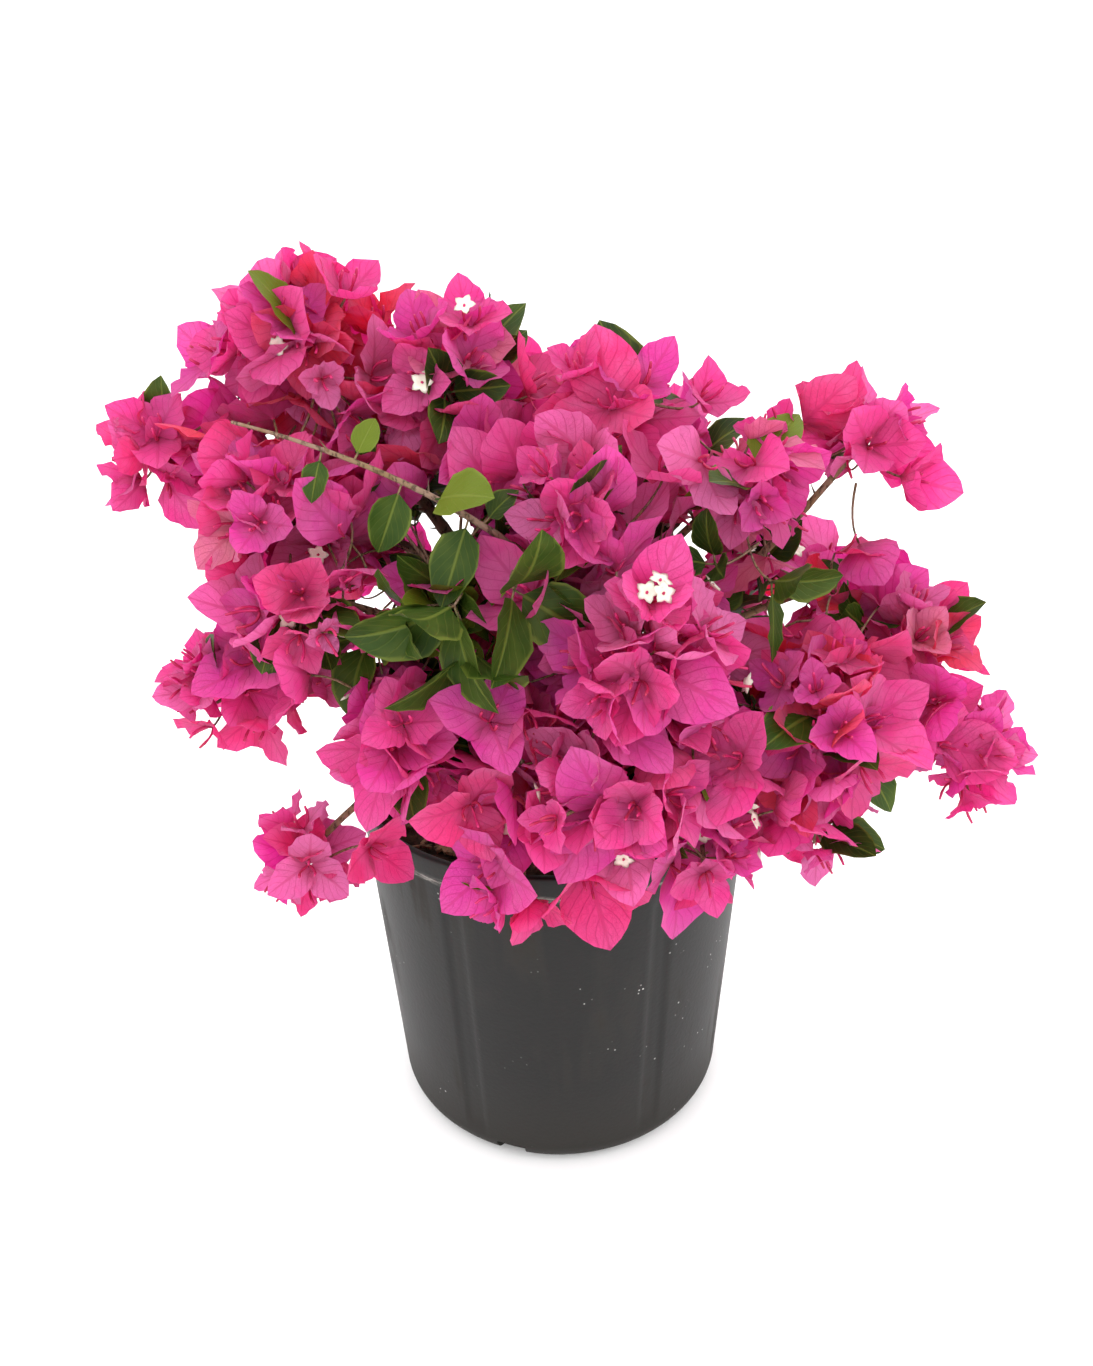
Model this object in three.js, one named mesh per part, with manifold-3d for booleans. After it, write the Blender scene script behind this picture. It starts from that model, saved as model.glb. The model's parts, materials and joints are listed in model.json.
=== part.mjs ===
// A bougainvillea bush in full bloom, standing in its black nursery pot.
// Millimetres, +Z up. The origin is on the floor under the middle of the pot, and the front is toward -Y.
import * as THREE from "three";
import { mergeVertices } from "three/addons/utils/BufferGeometryUtils.js";
import Module from "manifold-3d";

const wasm = await Module();
wasm.setup();

const GAP = 0.3;
const SMALLEST_EDGE = 0.05;

// Pot: a ten inch blow-moulded nursery pot
const POT_HEIGHT = 240;
const POT_RIM_RADIUS = 127;
const POT_FOOT_RADIUS = 111.7;
const POT_CORNER = 17;
const POT_WALL = 2.5;
const POT_FLOOR = 3;
const BAND_HEIGHT = 17;
const BAND_STEP = 2.5;
const LIP_ROUND = 1.5;
const POT_STATIONS = 36;
const CHANNELS = 6;
const CHANNEL_WIDTH = 12.5;
const CHANNEL_DEPTH = 1.2;
const CHANNEL_BOTTOM = 20;
const CHANNEL_TOP = 212;
const DRAIN_HOLES = 4;
const DRAIN_WIDTH = 20;
const DRAIN_SIDE = 14;
const DRAIN_INSET = 3;
const DRAIN_ANGLE = -108;

// Soil
const SOIL_TOP = 215;

// Trunk: a short stem with a root flare, that the boughs leave near its head
const TRUNK_FOOT = new THREE.Vector3(4, -6, SOIL_TOP + GAP);
const TRUNK_HEAD = new THREE.Vector3(8, 4, 288);
const TRUNK_FLARE_RADIUS = 17;
const TRUNK_RADIUS = 10;
const TRUNK_HEAD_RADIUS = 8.5;
const TRUNK_SIDES = 12;

// Boughs: base and tip radius
const MAIN_BOUGH = { base: 5.2, tip: 2.4, sides: 6 };
const SIDE_BOUGH = { base: 3, tip: 1.9, sides: 5 };
const LIMB_STEPS = 6;
const BOUGH_ENTERS_MASS = 0.5;

// Masses: how sprays of three bracts and green leaves grow round a stem
const CROWN_CORE = new THREE.Vector3(5, 20, 330);
const STEM_RADIUS = 1.9;
const STEM_SIDES = 4;
const HUB_RADIUS = 3.6;
const TWIG_ROOT_RADIUS = 0.9;
const NODE_RADIUS = 2;
const SHORTEST_TWIG = 7;
const TWIG_TO_AXIS_LEAST = 0.35;
const HUB_SHARE = 0.12;
const BRACT_LENGTH = 48;
const BRACT_SHARE_OF_REACH = 0.86;
const BRACT_WIDTH_SHARE = 0.96;
const BRACT_SHRINK = 0.16;
const BRACT_OPEN_LEAST = 38;
const BRACT_OPEN_MOST = 66;
const LEAF_LENGTH = 52;
const LEAF_WIDTH_SHARE = 0.7;
const LEAF_STALK = 2.5;
const BLADE_WIDEST = 0.42;
const BLADE_FOLD = 4;
const BLADE_THICKNESS = 1.2;
const BLADE_SUNK = 0.4;
const SPRAY_SPACING = 13;
const BACKMOST = -0.75;
const TRIES = 60;
const GOLDEN_ANGLE = Math.PI * (3 - Math.sqrt(5));
const CELL_MARGIN = 1.2;
const LIMB_MARGIN = 2.4;
const TWIG_MARGIN = 1.8;
const POT_MARGIN = 4.5;

// Each mass: its name, centre, reach, sprays, how many of them are leafy shoots, loose leaves and seed,
// then the limb that its bough leaves, how far along that limb, and how the bough bends on its way.
const MASSES = [
  ["upper_left", [-128, -20, 507], 61, 12, 0, 1, 6, "trunk", 1, [0, 0, 10]],
  ["top", [-53, -30, 491], 58, 9, 2, 1, 1011, "trunk", 0.97, [0, 0, 5]],
  ["upper_right", [39, -55, 475], 56, 9, 1, 1, 14, "trunk", 0.93, [0, 0, 5]],
  ["right_upper", [194, -70, 349], 53, 8, 1, 1, 1014, "trunk", 0.9, [0, 0, 25]],
  ["front", [46, -140, 381], 58, 10, 0, 1, 11, "trunk", 0.86, [0, 0, 20]],
  ["front_left", [-73, -120, 327], 58, 9, 1, 1, 16, "trunk", 0.82, [0, 0, 25]],
  ["left_tip", [-207, -30, 454], 46, 6, 0, 1, 3, "bough_top", 0.35, [0, -10, 14]],
  ["left_shoulder", [-143, -80, 437], 52, 7, 0, 1, 1008, "bough_upper_left", 0.35, [0, 0, -5]],
  ["left_middle", [-126, -100, 401], 48, 6, 1, 1, 1002, "bough_front_left", 0.2, [0, 0, 20]],
  ["left_low", [-174, -85, 340], 46, 5, 0, 1, 7, "bough_front_left", 0.35, [0, 0, 15]],
  ["low_left_tip", [-140, -105, 247], 41, 4, 0, 1, 1003, "bough_front_left", 0.5, [0, 0, 14]],
  ["centre", [23, -100, 439], 52, 7, 1, 1, 11, "bough_upper_right", 0.45, [0, 0, -5]],
  ["right_shoulder", [103, -70, 450], 48, 6, 1, 1, 1013, "bough_upper_right", 0.35, [0, 0, -5]],
  ["right_spray", [171, -30, 452], 48, 6, 0, 1, 6, "bough_right_upper", 0.25, [0, -10, 0]],
  ["front_skirt", [28, -150, 310], 57, 10, 1, 1, 1006, "bough_front", 0.35, [0, 0, 5]],
  ["front_rim", [-18, -148, 255], 40, 4, 0, 1, 1014, "bough_front_left", 0.28, [0, 0, 18]],
  ["right_front", [144, -120, 327], 62, 11, 1, 1, 2, "bough_right_upper", 0.4, [0, 0, 6]],
  ["right_tip", [235, -85, 291], 43, 4, 0, 1, 6, "bough_right_upper", 0.6, [0, 0, 12]],
  ["low_right", [78, -145, 270], 42, 4, 0, 1, 1012, "bough_front", 0.25, [0, 0, 25]],
  ["low_right_tip", [146, -110, 258], 41, 4, 1, 1, 3, "bough_right_upper", 0.3, [0, 0, 15]],
  ["leafy_left", [-51, -85, 395], 57, 8, 6, 2, 2, "bough_front", 0.2, [0, 0, 5]],
  ["back_low", [5, 152, 345], 64, 8, 2, 2, 7, "trunk", 0.9, [0, 0, 30]],
  ["back_left", [-152, 75, 395], 62, 8, 2, 2, 1, "bough_upper_left", 0.3, [0, 0, 5]],
  ["back_top", [-20, 68, 445], 62, 8, 2, 2, 1009, "bough_top", 0.4, [0, 0, 5]],
  ["back_right_top", [88, 80, 412], 60, 8, 2, 2, 1010, "bough_upper_right", 0.25, [0, 0, 5]],
  ["back_right", [182, 60, 335], 60, 8, 2, 2, 1004, "bough_right_upper", 0.2, [0, 0, 10]],
  ["back_low_left", [-112, 142, 305], 62, 8, 2, 2, 1002, "bough_back_low", 0.25, [0, 0, 10]],
  ["back_low_right", [125, 142, 300], 58, 8, 2, 2, 1013, "bough_back_low", 0.3, [0, 0, 10]],
].map(([name, centre, reach, sprays, shoots, leaves, seed, from, along, bend]) => ({
  name,
  centre: new THREE.Vector3(...centre),
  reach,
  sprays,
  shoots,
  leaves,
  seed,
  from,
  along,
  bend: new THREE.Vector3(...bend),
}));

const FINISHES = {
  pot: { color: 0x3d3b39, roughness: 0.7, metalness: 0 },
  soil: { color: 0x3b2c20, roughness: 1, metalness: 0 },
  bark: { color: 0x8c7464, roughness: 0.9, metalness: 0 },
  cane: { color: 0x96786a, roughness: 0.85, metalness: 0 },
  bloom: { color: 0xde3e8c, roughness: 0.6, metalness: 0 },
  leafy: { color: 0x4f7a35, roughness: 0.55, metalness: 0 },
};

const radians = THREE.MathUtils.degToRad;

// A number from 0 to 1 that depends only on its keys.
function chance(...keys) {
  let mixed = 0x9e3779b9;
  for (const key of keys) {
    mixed = Math.imul(mixed ^ key, 0x85ebca6b);
    mixed ^= mixed >>> 13;
    mixed = Math.imul(mixed, 0xc2b2ae35);
    mixed ^= mixed >>> 16;
  }
  return (mixed >>> 0) / 4294967296;
}

// The solid of a closed three.js geometry.
function solidOf(geometry) {
  const bare = new THREE.BufferGeometry();
  bare.setAttribute("position", geometry.getAttribute("position"));
  bare.setIndex(geometry.getIndex());
  const merged = mergeVertices(bare, 1e-4);
  const corners = merged.index.array;
  const kept = [];
  for (let i = 0; i < corners.length; i += 3) {
    const [a, b, c] = corners.slice(i, i + 3);
    if (a !== b && b !== c && c !== a) kept.push(a, b, c);
  }
  const mesh = new wasm.Mesh({
    numProp: 3,
    vertProperties: merged.attributes.position.array,
    triVerts: new Uint32Array(kept),
  });
  return new wasm.Manifold(mesh);
}

function geometryOf(solid) {
  const mesh = solid.getMesh();
  const geometry = new THREE.BufferGeometry();
  geometry.setAttribute("position", new THREE.BufferAttribute(mesh.vertProperties, mesh.numProp));
  geometry.setIndex(new THREE.BufferAttribute(mesh.triVerts, 1));
  const flat = geometry.toNonIndexed();
  flat.computeVertexNormals();
  return flat;
}

// The one large body of a solid, without loose scraps and with its sealed hollows filled.
function mainBody(solid) {
  const bodies = solid.decompose().sort((a, b) => b.volume() - a.volume());
  return bodies[0].simplify(SMALLEST_EDGE);
}

function meshOf(name, solid, finish, place = new THREE.Vector3()) {
  const geometry = geometryOf(solid.translate(-place.x, -place.y, -place.z));
  const mesh = new THREE.Mesh(geometry, new THREE.MeshStandardMaterial(FINISHES[finish]));
  mesh.name = name;
  mesh.position.copy(place);
  return mesh;
}

// A turned solid from its profile of radius and height, which starts and ends on the axis.
function turned(profile, stations) {
  const points = profile.map(([radius, height]) => new THREE.Vector2(radius, height));
  return solidOf(new THREE.LatheGeometry(points, stations).rotateX(Math.PI / 2));
}

// The radius of the pot's outer wall at a height.
function potWallRadius(height) {
  const bandFoot = POT_HEIGHT - BAND_HEIGHT;
  const top = POT_RIM_RADIUS - BAND_STEP;
  return THREE.MathUtils.mapLinear(height, POT_CORNER, bandFoot, POT_FOOT_RADIUS, top);
}

// Points of the round corner between the underside and the wall, from radius to the axis inward.
function cornerPoints(radius, size, low) {
  return [0, 1, 2, 3, 4].map((step) => {
    const turn = (step * Math.PI) / 8;
    return [radius - size + size * Math.sin(turn), low + size - size * Math.cos(turn)];
  });
}

function makePot() {
  const bandFoot = POT_HEIGHT - BAND_HEIGHT;
  const innerCorner = POT_CORNER - POT_WALL;
  const outside = [
    [0, 0],
    ...cornerPoints(POT_FOOT_RADIUS, POT_CORNER, 0),
    [potWallRadius(bandFoot), bandFoot],
    [POT_RIM_RADIUS, bandFoot + 1],
    [POT_RIM_RADIUS, POT_HEIGHT - LIP_ROUND],
    [POT_RIM_RADIUS - LIP_ROUND, POT_HEIGHT],
  ];
  const inside = [
    [potWallRadius(POT_HEIGHT) - POT_WALL, POT_HEIGHT],
    ...cornerPoints(POT_FOOT_RADIUS - POT_WALL, innerCorner, POT_FLOOR).reverse(),
    [0, POT_FLOOR],
  ];
  let pot = turned([...outside, ...inside], POT_STATIONS);

  const rise = CHANNEL_TOP - CHANNEL_BOTTOM;
  const lean = Math.atan2(potWallRadius(CHANNEL_TOP) - potWallRadius(CHANNEL_BOTTOM), rise);
  const middle = (CHANNEL_TOP + CHANNEL_BOTTOM) / 2;
  for (let i = 0; i < CHANNELS; i += 1) {
    const channel = new THREE.BoxGeometry(2 * CHANNEL_DEPTH, CHANNEL_WIDTH, rise)
      .rotateY(lean)
      .translate(potWallRadius(middle), 0, middle)
      .rotateZ(radians((360 / CHANNELS) * i));
    pot = pot.subtract(solidOf(channel));
  }

  for (let i = 0; i < DRAIN_HOLES; i += 1) {
    const hole = new THREE.BoxGeometry(DRAIN_SIDE, DRAIN_WIDTH, DRAIN_SIDE)
      .rotateY(Math.PI / 4)
      .translate(POT_FOOT_RADIUS - DRAIN_INSET, 0, DRAIN_INSET)
      .rotateZ(radians(DRAIN_ANGLE + (360 / DRAIN_HOLES) * i));
    pot = pot.subtract(solidOf(hole));
  }
  return meshOf("pot", mainBody(pot), "pot");
}

function makeSoil() {
  const low = POT_FLOOR + GAP;
  const corner = POT_CORNER - POT_WALL;
  const inset = POT_WALL + 1.5 * GAP;
  const profile = [
    [0, low],
    [POT_FOOT_RADIUS - inset - corner, low],
    [POT_FOOT_RADIUS - inset, low + corner],
    [potWallRadius(SOIL_TOP) - inset, SOIL_TOP],
    [0, SOIL_TOP],
  ];
  return meshOf("soil", turned(profile, POT_STATIONS), "soil");
}

// Two directions square to an axis and to each other.
function across(axis) {
  const reference = Math.abs(axis.z) < 0.8 ? new THREE.Vector3(0, 0, 1) : new THREE.Vector3(1, 0, 0);
  const first = reference.cross(axis).normalize();
  return [first, axis.clone().cross(first)];
}

// A tapering limb along a curve that bends in one plane: a cylinder whose rings are moved to the curve.
// swell makes it that much thicker and longer, to cut its neighbours clear of it.
function limbSolid(limb, swell = 0) {
  const { curve, radiusAt, sides } = limb;
  const shape = new THREE.CylinderGeometry(1, 1, 1, sides, LIMB_STEPS);
  const bend = curve.v1.clone().sub(curve.v0).cross(curve.v2.clone().sub(curve.v1));
  const [spare] = across(curve.v2.clone().sub(curve.v0).normalize());
  const side = bend.length() > 1e-3 ? bend.normalize() : spare;
  const grown = swell / Math.cos(Math.PI / sides);
  const position = shape.getAttribute("position");
  const point = new THREE.Vector3();
  for (let i = 0; i < position.count; i += 1) {
    const along = position.getY(i) + 0.5;
    const tangent = curve.getTangent(along);
    const width = tangent.clone().cross(side).multiplyScalar(position.getX(i));
    const depth = side.clone().multiplyScalar(position.getZ(i));
    const end = along < 0.01 ? -swell : along > 0.99 ? swell : 0;
    curve.getPoint(along, point);
    point.addScaledVector(width.add(depth), radiusAt(along) + grown).addScaledVector(tangent, end);
    position.setXYZ(i, point.x, point.y, point.z);
  }
  return solidOf(shape);
}

const taper = ({ base, tip }) => (along) => base + (tip - base) * along;

function planLimbs() {
  const limbs = new Map();
  const rise = new THREE.Vector3(TRUNK_FOOT.x, TRUNK_FOOT.y, (TRUNK_FOOT.z + TRUNK_HEAD.z) / 2);
  const thin = taper({ base: TRUNK_RADIUS, tip: TRUNK_HEAD_RADIUS });
  limbs.set("trunk", {
    curve: new THREE.QuadraticBezierCurve3(TRUNK_FOOT, rise, TRUNK_HEAD),
    radiusAt: (along) => thin(along) + (TRUNK_FLARE_RADIUS - TRUNK_RADIUS) * (1 - along) ** 6,
    sides: TRUNK_SIDES,
  });
  for (const mass of MASSES) {
    const size = mass.from === "trunk" ? MAIN_BOUGH : SIDE_BOUGH;
    const start = limbs.get(mass.from).curve.getPoint(mass.along);
    const middle = start.clone().add(mass.centre).multiplyScalar(0.5).add(mass.bend);
    const inward = middle.clone().sub(mass.centre).normalize();
    const tip = mass.centre.clone().addScaledVector(inward, mass.reach * BOUGH_ENTERS_MASS);
    limbs.set("bough_" + mass.name, {
      curve: new THREE.QuadraticBezierCurve3(start, middle, tip),
      radiusAt: taper(size),
      sides: size.sides,
    });
  }
  return limbs;
}

// Short straight pieces of every limb, for measuring how near something lies to it.
function limbPieces(limbs) {
  const pieces = [];
  for (const { curve, radiusAt } of limbs.values()) {
    for (let i = 0; i < LIMB_STEPS; i += 1) {
      const near = i / LIMB_STEPS;
      const far = (i + 1) / LIMB_STEPS;
      const line = new THREE.Line3(curve.getPoint(near), curve.getPoint(far));
      pieces.push({ line, radius: Math.max(radiusAt(near), radiusAt(far)) });
    }
  }
  return pieces;
}

// A bract or leaf: where it is rooted, the way it points, the way its face looks, and its size.
function makeBlade(root, along, face, length, widthShare) {
  return { root, along, face, side: along.clone().cross(face), length, width: length * widthShare };
}

// The point of a blade at a share of its length and a share of its half width there.
function bladePoint(blade, lengthwise, crosswise) {
  const narrow =
    lengthwise < BLADE_WIDEST ? lengthwise / BLADE_WIDEST : (1 - lengthwise) / (1 - BLADE_WIDEST);
  return blade.root
    .clone()
    .addScaledVector(blade.along, lengthwise * blade.length)
    .addScaledVector(blade.side, (crosswise * narrow * blade.width) / 2)
    .addScaledVector(blade.face, Math.abs(crosswise) * narrow * BLADE_FOLD);
}

function bladeSamples(blade) {
  const samples = [];
  for (let i = 0; i <= 12; i += 1) {
    for (let j = -5; j <= 5; j += 1) {
      samples.push(bladePoint(blade, i / 12, j / 5));
    }
  }
  return samples;
}

// The three corners of a blade that stand out: its two widest points and its tip.
function bladeCorners(blade) {
  return [bladePoint(blade, BLADE_WIDEST, 1), bladePoint(blade, 1, 0), bladePoint(blade, BLADE_WIDEST, -1)];
}

// The middle of a blade, on its upper and its under side.
function bladeMiddles(blade) {
  const middle = bladePoint(blade, BLADE_WIDEST, 0);
  const half = BLADE_THICKNESS / 2;
  return [half, -half].map((rise) => middle.clone().addScaledVector(blade.face, rise));
}

// A leaf of eight faces, folded up a little along its midrib, with its root sunk in its twig.
function leafSolid(leaf) {
  const root = leaf.root.clone().addScaledVector(leaf.along, -BLADE_SUNK);
  const points = [root, ...bladeCorners(leaf), ...bladeMiddles(leaf)];
  const shape = new THREE.BufferGeometry().setFromPoints(points);
  shape.setIndex([1, 2, 4, 2, 3, 4, 3, 0, 4, 0, 1, 4, 2, 1, 5, 3, 2, 5, 0, 3, 5, 1, 0, 5]);
  return solidOf(shape);
}

// Triangles that join a closed rim of points to one point off it.
function fan(rim, point) {
  return rim.flatMap((corner, i) => [corner, rim[(i + 1) % rim.length], point]);
}

// A spray in one piece: a three-sided twig whose tip opens into three blades round a low crown.
// Its corners are the crown, three notches between the blades, three at the twig's root, then five a blade.
function spraySolid({ root, node, axis, turns, blades }) {
  const [east, north] = across(axis);
  const notches = turns.map((turn, k) => {
    const next = turns[(k + 1) % 3] + (k === 2 ? 2 * Math.PI : 0);
    const between = (turn + next) / 2;
    return node
      .clone()
      .addScaledVector(east, NODE_RADIUS * Math.cos(between))
      .addScaledVector(north, NODE_RADIUS * Math.sin(between));
  });
  const run = node.clone().sub(root).normalize();
  const feet = notches.map((notch) => {
    const offset = notch.clone().sub(node);
    offset.addScaledVector(run, -offset.dot(run)).normalize();
    return root.clone().addScaledVector(offset, TWIG_ROOT_RADIUS);
  });
  const crown = node.clone().addScaledVector(axis, NODE_RADIUS * 0.75);
  const points = [crown, ...notches, ...feet];
  const faces = [4, 6, 5];
  for (let k = 0; k < 3; k += 1) {
    const before = 1 + ((k + 2) % 3);
    const after = 1 + k;
    const first = 7 + 5 * k;
    const [left, tip, right, upper, under] = [0, 1, 2, 3, 4].map((step) => first + step);
    points.push(...bladeCorners(blades[k]), ...bladeMiddles(blades[k]));
    faces.push(...fan([left, tip, right, after, 0, before], upper));
    faces.push(...fan([after, right, tip, left, before], under));
    faces.push(before + 3, after + 3, after, before + 3, after, before);
  }
  const shape = new THREE.BufferGeometry().setFromPoints(points);
  shape.setIndex(faces);
  return solidOf(shape);
}

// A straight stem that ends in a knot, which the twigs leave.
function stemSolid({ start, end }) {
  const run = end.clone().sub(start);
  const middle = start.clone().add(end).multiplyScalar(0.5);
  const upright = new THREE.Vector3(0, 1, 0);
  const turn = new THREE.Quaternion().setFromUnitVectors(upright, run.clone().normalize());
  const stem = new THREE.CylinderGeometry(STEM_RADIUS, STEM_RADIUS, run.length(), STEM_SIDES)
    .applyQuaternion(turn)
    .translate(middle.x, middle.y, middle.z);
  const knot = new THREE.OctahedronGeometry(HUB_RADIUS)
    .applyQuaternion(turn)
    .translate(end.x, end.y, end.z);
  return solidOf(stem).add(solidOf(knot));
}

// A test of whether points keep to a mass's own space, clear of the pot and of every limb.
function roomOf(mass, pieces) {
  const others = MASSES.filter((other) => other !== mass);
  const near = pieces.filter(({ line, radius }) => {
    const middle = line.getCenter(new THREE.Vector3());
    return middle.distanceTo(mass.centre) < mass.reach + line.distance() / 2 + radius + 5;
  });
  const nearest = new THREE.Vector3();
  return (points, margin) =>
    points.every((point) => {
      const own = point.distanceToSquared(mass.centre) - mass.reach ** 2;
      if (own > 0) return false;
      const overRim = point.z >= POT_HEIGHT + POT_MARGIN;
      if (!overRim && Math.hypot(point.x, point.y) < POT_RIM_RADIUS + POT_MARGIN) return false;
      const crowded = others.some((other) => {
        const theirs = point.distanceToSquared(other.centre) - other.reach ** 2;
        return theirs - own < 2 * CELL_MARGIN * other.centre.distanceTo(mass.centre);
      });
      if (crowded) return false;
      return near.every(({ line, radius }) => {
        line.closestPointToPoint(point, true, nearest);
        return nearest.distanceTo(point) >= radius + margin;
      });
    });
}

// What a blade or twig is made of when it is tested for crossing: lines and flat triangles.
function outlineOf(blade, clearance = 0) {
  const root = bladePoint(blade, clearance, 0);
  const [left, tip, right] = bladeCorners(blade);
  const lines = [
    [root, tip],
    [root, left],
    [root, right],
    [left, tip],
    [right, tip],
  ];
  const sheets = [
    [root, left, tip],
    [root, tip, right],
  ];
  return { lines, sheets };
}

// Whether the line from one point to another cuts a triangle.
function cuts([from, to], [a, b, c]) {
  const run = to.clone().sub(from);
  const first = b.clone().sub(a);
  const second = c.clone().sub(a);
  const square = run.clone().cross(second);
  const scale = first.dot(square);
  if (Math.abs(scale) < 1e-9) return false;
  const offset = from.clone().sub(a);
  const u = offset.dot(square) / scale;
  const turned = offset.cross(first);
  const v = run.dot(turned) / scale;
  const along = second.dot(turned) / scale;
  return u >= 0 && v >= 0 && u + v <= 1 && along >= 0 && along <= 1;
}

const anyCut = (lines, sheets) => lines.some((line) => sheets.some((sheet) => cuts(line, sheet)));

// Whether new blades or twigs would cut through what already grows.
function tangles(fresh, grown) {
  return anyCut(fresh.lines, grown.sheets) || anyCut(grown.lines, fresh.sheets);
}

function joined(outlines) {
  return { lines: outlines.flatMap((o) => o.lines), sheets: outlines.flatMap((o) => o.sheets) };
}

// The way from the mass's centre to a spray: an even spiral from the outer pole, shaken by the seed.
function sprayDirection(mass, item, attempt) {
  const { seed, sprays } = mass;
  const outward = mass.centre.clone().sub(CROWN_CORE).normalize();
  const [east, north] = across(outward);
  const shake = Math.min(0.5, 0.15 + 0.04 * attempt) * (chance(seed, item, attempt, 1) - 0.5);
  const even = 1 - ((1 - BACKMOST) * (item + 0.5)) / sprays;
  const lift = THREE.MathUtils.clamp(even + shake, -1, 1);
  const swing = Math.min(2 * Math.PI, 0.8 + 0.3 * attempt) * (chance(seed, item, attempt, 2) - 0.5);
  const turn = 2 * Math.PI * chance(seed, 997) + GOLDEN_ANGLE * item + swing;
  const level = Math.sqrt(1 - lift * lift);
  return outward
    .multiplyScalar(lift)
    .addScaledVector(east, level * Math.cos(turn))
    .addScaledVector(north, level * Math.sin(turn));
}

// A spray: a twig from the stem with three blades round its tip, as far out as the reach lets it be.
function sproutSpray(mass, stem, item, attempt) {
  const { seed, centre, reach } = mass;
  const shoot =
    Math.floor(((item + 1) * mass.shoots) / mass.sprays) > Math.floor((item * mass.shoots) / mass.sprays);
  const outward = sprayDirection(mass, item, attempt);
  const opening = BRACT_OPEN_LEAST + (BRACT_OPEN_MOST - BRACT_OPEN_LEAST) * chance(seed, item, attempt, 3);
  const open = radians(opening);
  const size = 1 - BRACT_SHRINK * chance(seed, item, attempt, 4) - 0.012 * attempt;
  const length = (shoot ? LEAF_LENGTH : Math.min(BRACT_LENGTH, reach * BRACT_SHARE_OF_REACH)) * size;
  const sideways = length * Math.sin(open);
  const furthest = Math.sqrt(Math.max(0, reach ** 2 - sideways ** 2)) - length * Math.cos(open);
  const distance = Math.max(0, furthest) * (0.8 + 0.19 * chance(seed, item, attempt, 5));
  const node = centre.clone().addScaledVector(outward, distance);
  const share = stem.closestPointToPointParameter(node, false);
  const root = stem.at(THREE.MathUtils.clamp(share, 0.35, 1), new THREE.Vector3());

  const axis = outward.clone().add(new THREE.Vector3(0, -0.2, 0.25)).normalize();
  const [east, north] = across(axis);
  const turns = [];
  const blades = [];
  for (let k = 0; k < 3; k += 1) {
    const even = 2 * Math.PI * (chance(seed, item, attempt, 6) + k / 3);
    const turn = even + 0.35 * (chance(seed, item, attempt, 10 + k) - 0.5);
    const lean = open + 0.35 * (chance(seed, item, attempt, 13 + k) - 0.5);
    const radial = east.clone().multiplyScalar(Math.cos(turn)).addScaledVector(north, Math.sin(turn));
    const along = axis.clone().multiplyScalar(Math.cos(lean)).addScaledVector(radial, Math.sin(lean));
    const face = axis.clone().multiplyScalar(Math.sin(lean)).addScaledVector(radial, -Math.cos(lean));
    turns.push(turn);
    blades.push(makeBlade(node, along, face, length, shoot ? LEAF_WIDTH_SHARE : BRACT_WIDTH_SHARE));
  }
  const twig = node.clone().sub(root);
  const fits = distance >= SHORTEST_TWIG && twig.normalize().dot(axis) >= TWIG_TO_AXIS_LEAST;
  return { node, root, axis, turns, blades, fits };
}

// A green leaf part of the way up a spray's twig, with its face to the sky and the light.
function sproutLeaf(mass, sprays, item, attempt) {
  const { seed } = mass;
  const spray = sprays[Math.floor(chance(seed, item, attempt, 1) * sprays.length)];
  const root = spray.root.clone().lerp(spray.node, 0.25 + 0.55 * chance(seed, item, attempt, 2));
  const twig = spray.node.clone().sub(spray.root).normalize();
  const [east, north] = across(twig);
  const turn = 2 * Math.PI * chance(seed, item, attempt, 3);
  const along = twig
    .multiplyScalar(0.35)
    .addScaledVector(east, Math.cos(turn))
    .addScaledVector(north, Math.sin(turn))
    .addScaledVector(root.clone().sub(mass.centre).normalize(), 0.35)
    .normalize();
  const sky = new THREE.Vector3(0, -0.5, 1);
  const face = sky.addScaledVector(along, -sky.dot(along)).normalize();
  const length = LEAF_LENGTH * (0.75 + 0.25 * chance(seed, item, attempt, 4) - 0.008 * attempt);
  return makeBlade(root, along, face, length, LEAF_WIDTH_SHARE);
}

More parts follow.
